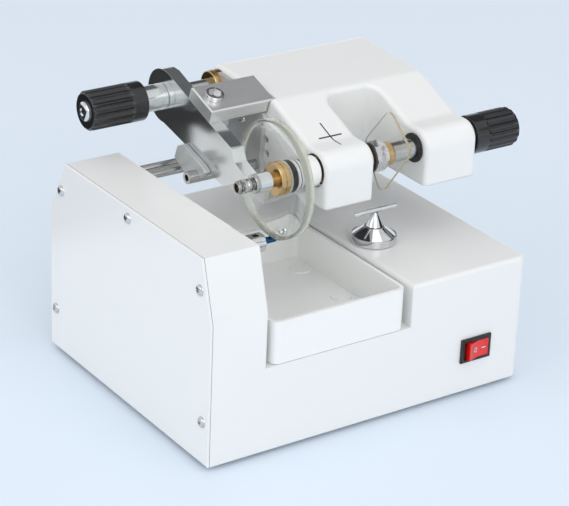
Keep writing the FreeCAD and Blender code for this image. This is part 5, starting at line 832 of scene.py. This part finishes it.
def block_tool(low, high):
    """A box between two corners of the drawing."""
    shape = bmesh.new()
    bmesh.ops.create_cube(shape, size=1.0)
    first, last = bench(*low), bench(*high)
    for vert in shape.verts:
        vert.co = Vector(a + (b - a) * (c + 0.5) for a, b, c in zip(first, last, vert.co))
    return new_piece("tool", shape)


boolean(chuck, block_tool((60, 50, CUTTER_AXIS[1] + CHUCK_FLAT), (80, 75, 110)), "DIFFERENCE")
GRUB_MIDDLE, GRUB_HOLE, ABOVE_ALL = (69.2, CUTTER_AXIS[0]), 2.15, 106
hole = turned_shape([(CUTTER_AXIS[1] + 1.0, 0), (CUTTER_AXIS[1] + 1.0, GRUB_HOLE),
                     (ABOVE_ALL, GRUB_HOLE), (ABOVE_ALL, 0)], "Z", GRUB_MIDDLE, 32)
boolean(chuck, new_piece("hole", hole), "DIFFERENCE")
fit(settle(chuck), "cutter", "chrome", "cutter_spindle")
grub_rows = [(98.4, 0), (98.4, 2.0), (100.9, 2.0), (100.9, 1.3), (99.4, 1.3), (99.4, 0)]
grub = new_piece("grub_screw", turned_shape(grub_rows, "Z", GRUB_MIDDLE, 24), frame_black)
fit(settle(grub), "cutter", "set_screw_steel", "cutter_set_screw")

# %% [markdown]
# ## The bar's bolt and the guide block
# The steady bar leans towards the back, and its bolt leans with it: it is turned upright, gets
# its hexagon socket from a six-sided cut, and is then tilted about the bar's hinge line. The
# guide block is a flat plate with a bent outline, so it is a prism with softened edges.

# %% The bar's socket bolt, which leans with the bar
BAR_HINGE, BAR_LEAN, BOLT_PLACE = (112.4, 152.5), math.radians(18.7), (77.0, 124.4)
bolt_rows = [(146.9, 0), (146.9, 3.0), (160.95, 3.0), (160.95, 5.7), (163.5, 5.7), (163.8, 5.5),
             (163.95, 5.1), (163.95, 0)]
bolt = new_piece("socket_bolt", turned_shape(bolt_rows, "Z", BOLT_PLACE, 64), screw_chrome)
socket = turned_shape([(161.6, 0), (161.6, 4.1), (166, 4.1), (166, 0)], "Z", BOLT_PLACE, 6)
boolean(bolt, new_piece("socket", socket), "DIFFERENCE")
hinge = bench(0, *BAR_HINGE)
for vert in bolt.data.vertices:
    vert.co = hinge + Matrix.Rotation(BAR_LEAN, 3, "X") @ (vert.co - hinge)
fit(settle(bolt, bevel=0.1), "clamp", "chrome_screws", "steady_bar_bolt")

# %% The flat guide block under the arm
GUIDE_LEFT, GUIDE_RIGHT = 64.5, 68.45
GUIDE_OUTLINE = [(140.4, 129.5), (134.9, 132.1), (113.0, 126.2), (109.0, 123.6),
                 (116.5, 117.0), (119.8, 113.2), (126.4, 111.7), (133.2, 115.8),
                 (143.5, 121.0)]
guide = new_piece("flat_guide_block", extruded(GUIDE_OUTLINE, GUIDE_LEFT, GUIDE_RIGHT),
                  guide_zinc)
fit(settle(guide, bevel=0.6, segments=3, angle=20), "clamp", "guide_zinc", "guide_block")

# %% [markdown]
# ## The side panel's screws
# Five screws with domed heads and cross recesses hold the side panel. They are all alike, so
# one is modelled, and a tree stands a copy on every point of a small cloud. The points are
# shares of the panel's depth and height.

# %% A tree that stands copies of a screw on points
screw_tree, entry, leave = geometry_tree("stand_screws", [
    ("Screw", "Object"), ("Material", "Material")])
model = put(screw_tree, "GeometryNodeObjectInfo", {"transform_space": "ORIGINAL"},
            Object=entry.outputs["Screw"])
seats = put(screw_tree, "GeometryNodeMeshToPoints", Mesh=entry.outputs["Geometry"])
copies = put(screw_tree, "GeometryNodeInstanceOnPoints", Points=seats.outputs["Points"],
             Instance=model.outputs["Geometry"])
close_tree(screw_tree, entry, leave, copies.outputs["Instances"])

HEAD_PROFILE = [(8.0, 0), (8.0, 1.5), (0, 1.5), (0, 3.4), (-0.25, 3.35), (-0.75, 3.1),
                (-1.2, 2.6), (-1.55, 1.9), (-1.75, 1.0), (-1.8, 0)]
RECESS_LONG, RECESS_THIN, RECESS_FRONT, RECESS_FLOOR = 1.3, 0.275, -2.9, -0.7
screw_model = new_piece("screw_model", turned_shape(HEAD_PROFILE, "X", (0, 0), 40))
for wide, tall in ((RECESS_THIN, RECESS_LONG), (RECESS_LONG, RECESS_THIN)):
    boolean(screw_model, block_tool((RECESS_FRONT, -wide, -tall), (RECESS_FLOOR, wide, tall)),
            "DIFFERENCE")
for vert in screw_model.data.vertices:
    vert.co -= CORNER

PANEL_DEPTH, PANEL_HEIGHT = 177.0, 123.5
PANEL_SCREWS = [(0.927, 0.850), (0.497, 0.947), (0.066, 0.846), (0.038, 0.210), (0.963, 0.207)]
seats_shape = bmesh.new()
for along_share, up_share in PANEL_SCREWS:
    seats_shape.verts.new(bench(0, PANEL_DEPTH * along_share, PANEL_HEIGHT * up_share))
panel_screws = new_piece("panel_screws", seats_shape)
run_tree(panel_screws, screw_tree, Screw=screw_model, Material=screw_chrome)
bpy.data.objects.remove(screw_model)
fit(settle(panel_screws), "base", "chrome_screws", "side_panel_screws")

# %% [markdown]
# ## The pattern
# The pattern is the sheet whose outline the machine copies: a lozenge with rounded corners,
# sawn from clear plastic. Its outline is an arc at each corner, and a Boolean takes out the
# holes for the spigot and its two pins. Faces that look sideways get the sawn edge's material.

# %% The clear pattern sheet
PATTERN_LEFT, PATTERN_RIGHT, PATTERN_ROUND = 161.0, 162.8, 5.0
PATTERN_CORNERS = [(1.5, 27.0), (23.5, 0.0), (5.5, -29.0), (-21.5, 8.0)]
SPIGOT_HOLE, PIN_HOLE, PIN_OFFSET = 2.55, 1.05, 4.6


def rounded_outline(corners, radius, steps=10):
    """The corner points replaced by arcs that touch both sides."""
    points = []
    for k, corner in enumerate(corners):
        here = Vector(corner)
        before = (Vector(corners[k - 1]) - here).normalized()
        after = (Vector(corners[(k + 1) % len(corners)]) - here).normalized()
        half = before.angle(after) / 2
        centre = here + (before + after).normalized() * (radius / math.sin(half))
        first = here + before * (radius / math.tan(half)) - centre
        last = here + after * (radius / math.tan(half)) - centre
        sweep = first.angle_signed(last)
        points += [centre + Matrix.Rotation(-sweep * number / steps, 2) @ first
                   for number in range(steps + 1)]
    return points


outline = [Vector(SPINDLE) + point for point in rounded_outline(PATTERN_CORNERS, PATTERN_ROUND)]
sheet = new_piece("clear_pattern", extruded(outline, PATTERN_LEFT, PATTERN_RIGHT, 1),
                  sheet_clear, sheet_edge)
for offset, radius in ((0, SPIGOT_HOLE), (-PIN_OFFSET, PIN_HOLE), (PIN_OFFSET, PIN_HOLE)):
    drill_rows = [(PATTERN_LEFT - 1, 0), (PATTERN_LEFT - 1, radius), (PATTERN_RIGHT + 1, radius),
                  (PATTERN_RIGHT + 1, 0)]
    drill = turned_shape(drill_rows, "X", (SPINDLE[0] + offset, SPINDLE[1]), 32)
    boolean(sheet, new_piece("drill", drill, sheet_clear), "DIFFERENCE")
fit(settle(sheet), "lens_spindle", "pattern_clear", "pattern")

# %% [markdown]
# ## The switch's marks
# The rocker has the two usual marks, a ring for off and a bar for on, cast in paler plastic.
# They lie a hair above the two slanted faces, so their points are worked out on those faces.

# %% A ring and a bar on the rocker
ROCKER_PIVOT, ROCKER_MIDDLE_Z = (186.15, 1.0), 27.1
ROCKER_HALF, ROCKER_CREST, ROCKER_VALLEY = 8.0, 4.5, 3.0
TILT = math.radians(10)
MARK_LIFTS = (-0.05, 0.05)
RING_MIDDLE, RING_IN, RING_OUT, RING_STEPS = -1.9, 1.05, 1.6, 32
BAR_MARK = [(3.0, -0.3), (6.0, -0.3), (6.0, 0.3), (3.0, 0.3)]


def on_rocker(along_rocker, up, lift):
    """A point on the rocker's front skin, which is tilted about its pivot."""
    share = abs(along_rocker) / ROCKER_HALF
    out = -(ROCKER_VALLEY + (ROCKER_CREST - ROCKER_VALLEY) * share) - lift
    across = along_rocker * math.cos(TILT) - out * math.sin(TILT)
    depth = along_rocker * math.sin(TILT) + out * math.cos(TILT)
    return bench(ROCKER_PIVOT[0] + across, ROCKER_PIVOT[1] + depth, ROCKER_MIDDLE_Z + up)


shape = bmesh.new()
circles = [[(RING_MIDDLE + radius * math.cos(math.tau * k / RING_STEPS),
             radius * math.sin(math.tau * k / RING_STEPS)) for k in range(RING_STEPS)]
           for radius in (RING_IN, RING_OUT)]
rows = [[shape.verts.new(on_rocker(*point, lift)) for point in circle]
        for lift in MARK_LIFTS for circle in circles]
for first, second in ((0, 1), (1, 3), (3, 2), (2, 0)):
    skin(shape, rows[first], rows[second], RING_STEPS)
ends = [[shape.verts.new(on_rocker(*point, lift)) for point in BAR_MARK] for lift in MARK_LIFTS]
for end in ends:
    shape.faces.new(end)
skin(shape, *ends, len(BAR_MARK))
bmesh.ops.recalc_face_normals(shape, faces=shape.faces)
marks = new_piece("rocker_marks", shape, mark_white)
fit(settle(marks), "rocker", "red_rocker")

# %% [markdown]
# ## Floor, world and lamps
# The machine stands on a plain pale floor. Chrome and zinc show what stands round them, so
# the studio needs something dark as well: three dull cards that only reflections can see give
# the metal its dark streaks, as a photographer's black flags do, and a glowing card beside the
# housing's inner wall, also seen only in reflections, paints a bright reflection on the lower
# half of the arm. The lamps are large, so that the shadows stay soft.

# %% A pale floor
floor_tint = finish("pale_floor", (0.76, 0.845, 0.945), (0.75, 0.837, 0.94), (0.5, 0.65),
                    cloud=3, grain=300, relief=0.01, edge=0)
bpy.ops.mesh.primitive_plane_add(size=16, location=(0, 0, 0))
floor = bpy.context.object
floor.name = "floor"
floor.data.materials.append(floor_tint)


def flag(name, corner_points, grey=0.01):
    """A card that shows only in reflections."""
    shape = bmesh.new()
    shape.faces.new([shape.verts.new(Vector(point)) for point in corner_points])
    material = bpy.data.materials.new(name)
    material.use_nodes = True
    shader = material.node_tree.nodes["Principled BSDF"]
    shader.inputs["Base Color"].default_value = (grey, grey, grey, 1)
    shader.inputs["Roughness"].default_value = 0.9
    card = new_piece(name, shape, material)
    for kind in ("camera", "diffuse", "shadow", "transmission", "volume_scatter"):
        setattr(card, "visible_" + kind, False)
    return shader


flag("floor_flag", [(-1.6, 0.22, 0.002), (-0.12, 0.22, 0.002), (0.6, 1.8, 0.002),
                    (-1.6, 1.8, 0.002)])
flag("side_flag", [(0.9, -0.9, 0.0), (1.3, 0.2, 0.0), (1.3, 0.2, 0.9), (0.9, -0.9, 0.9)])
# The bar's top and the chrome dial look at the room behind the machine, where it is dimmer;
# this grey card, seen only in reflections, paints that dim reflection on them.
flag("back_flag", [(0.1, 1.5, 0.45), (1.5, 0.3, 0.45), (1.15, -0.05, 1.6), (-0.2, 1.15, 1.6)],
     0.12)
# A grey card that glows and is seen only in reflections: a painted bright reflection on the arm.
CARD_X, CARD_DEPTHS, CARD_HEIGHTS = 38.6, (40, 177), (84, 124)
painted_reflection_glow = flag("fill_card", [bench(CARD_X, CARD_DEPTHS[far], CARD_HEIGHTS[high])
                          for far, high in ((0, 0), (1, 0), (1, 1), (0, 1))], 0.6)
painted_reflection_glow.inputs["Emission Color"].default_value = (1, 1, 1, 1)
painted_reflection_glow.inputs["Emission Strength"].default_value = 0.5

# %% World and lamps
LOW_SKY, HIGH_SKY = 1.05, 0.74
world = bpy.data.worlds.new("studio")
bpy.context.scene.world = world
world.use_nodes = True
tree = world.node_tree
tree.nodes.clear()
high = put(tree, "ShaderNodeTexCoord")
split = put(tree, "ShaderNodeSeparateXYZ", Vector=high.outputs["Generated"])
fade = put(tree, "ShaderNodeMapRange", Value=split.outputs["Z"], To_Min=LOW_SKY, To_Max=HIGH_SKY)
sky = put(tree, "ShaderNodeBackground", Color=(0.97, 0.98, 1.0, 1),
          Strength=fade.outputs["Result"])
put(tree, "ShaderNodeOutputWorld", Surface=sky.outputs["Background"])
LAMP_AIM = Vector((0, 0, 0.08))


def lamp(name, place, size, power):
    """A square area lamp that looks at the machine's middle."""
    data = bpy.data.lights.new(name, "AREA")
    data.size = size
    data.energy = power
    made = bpy.data.objects.new(name, data)
    bpy.context.scene.collection.objects.link(made)
    made.location = place
    made.rotation_mode = "QUATERNION"
    made.rotation_quaternion = (LAMP_AIM - Vector(place)).to_track_quat("-Z", "Y")


lamp("front_lamp", (-0.5, -1.5, 1.1), 0.9, 5.4)
lamp("left_lamp", (-1.5, -0.1, 0.9), 0.9, 3)
lamp("top_lamp", (0.1, -0.6, 1.7), 1.1, 3)

# %% The view
bpy.context.scene.view_settings.view_transform = "Standard"
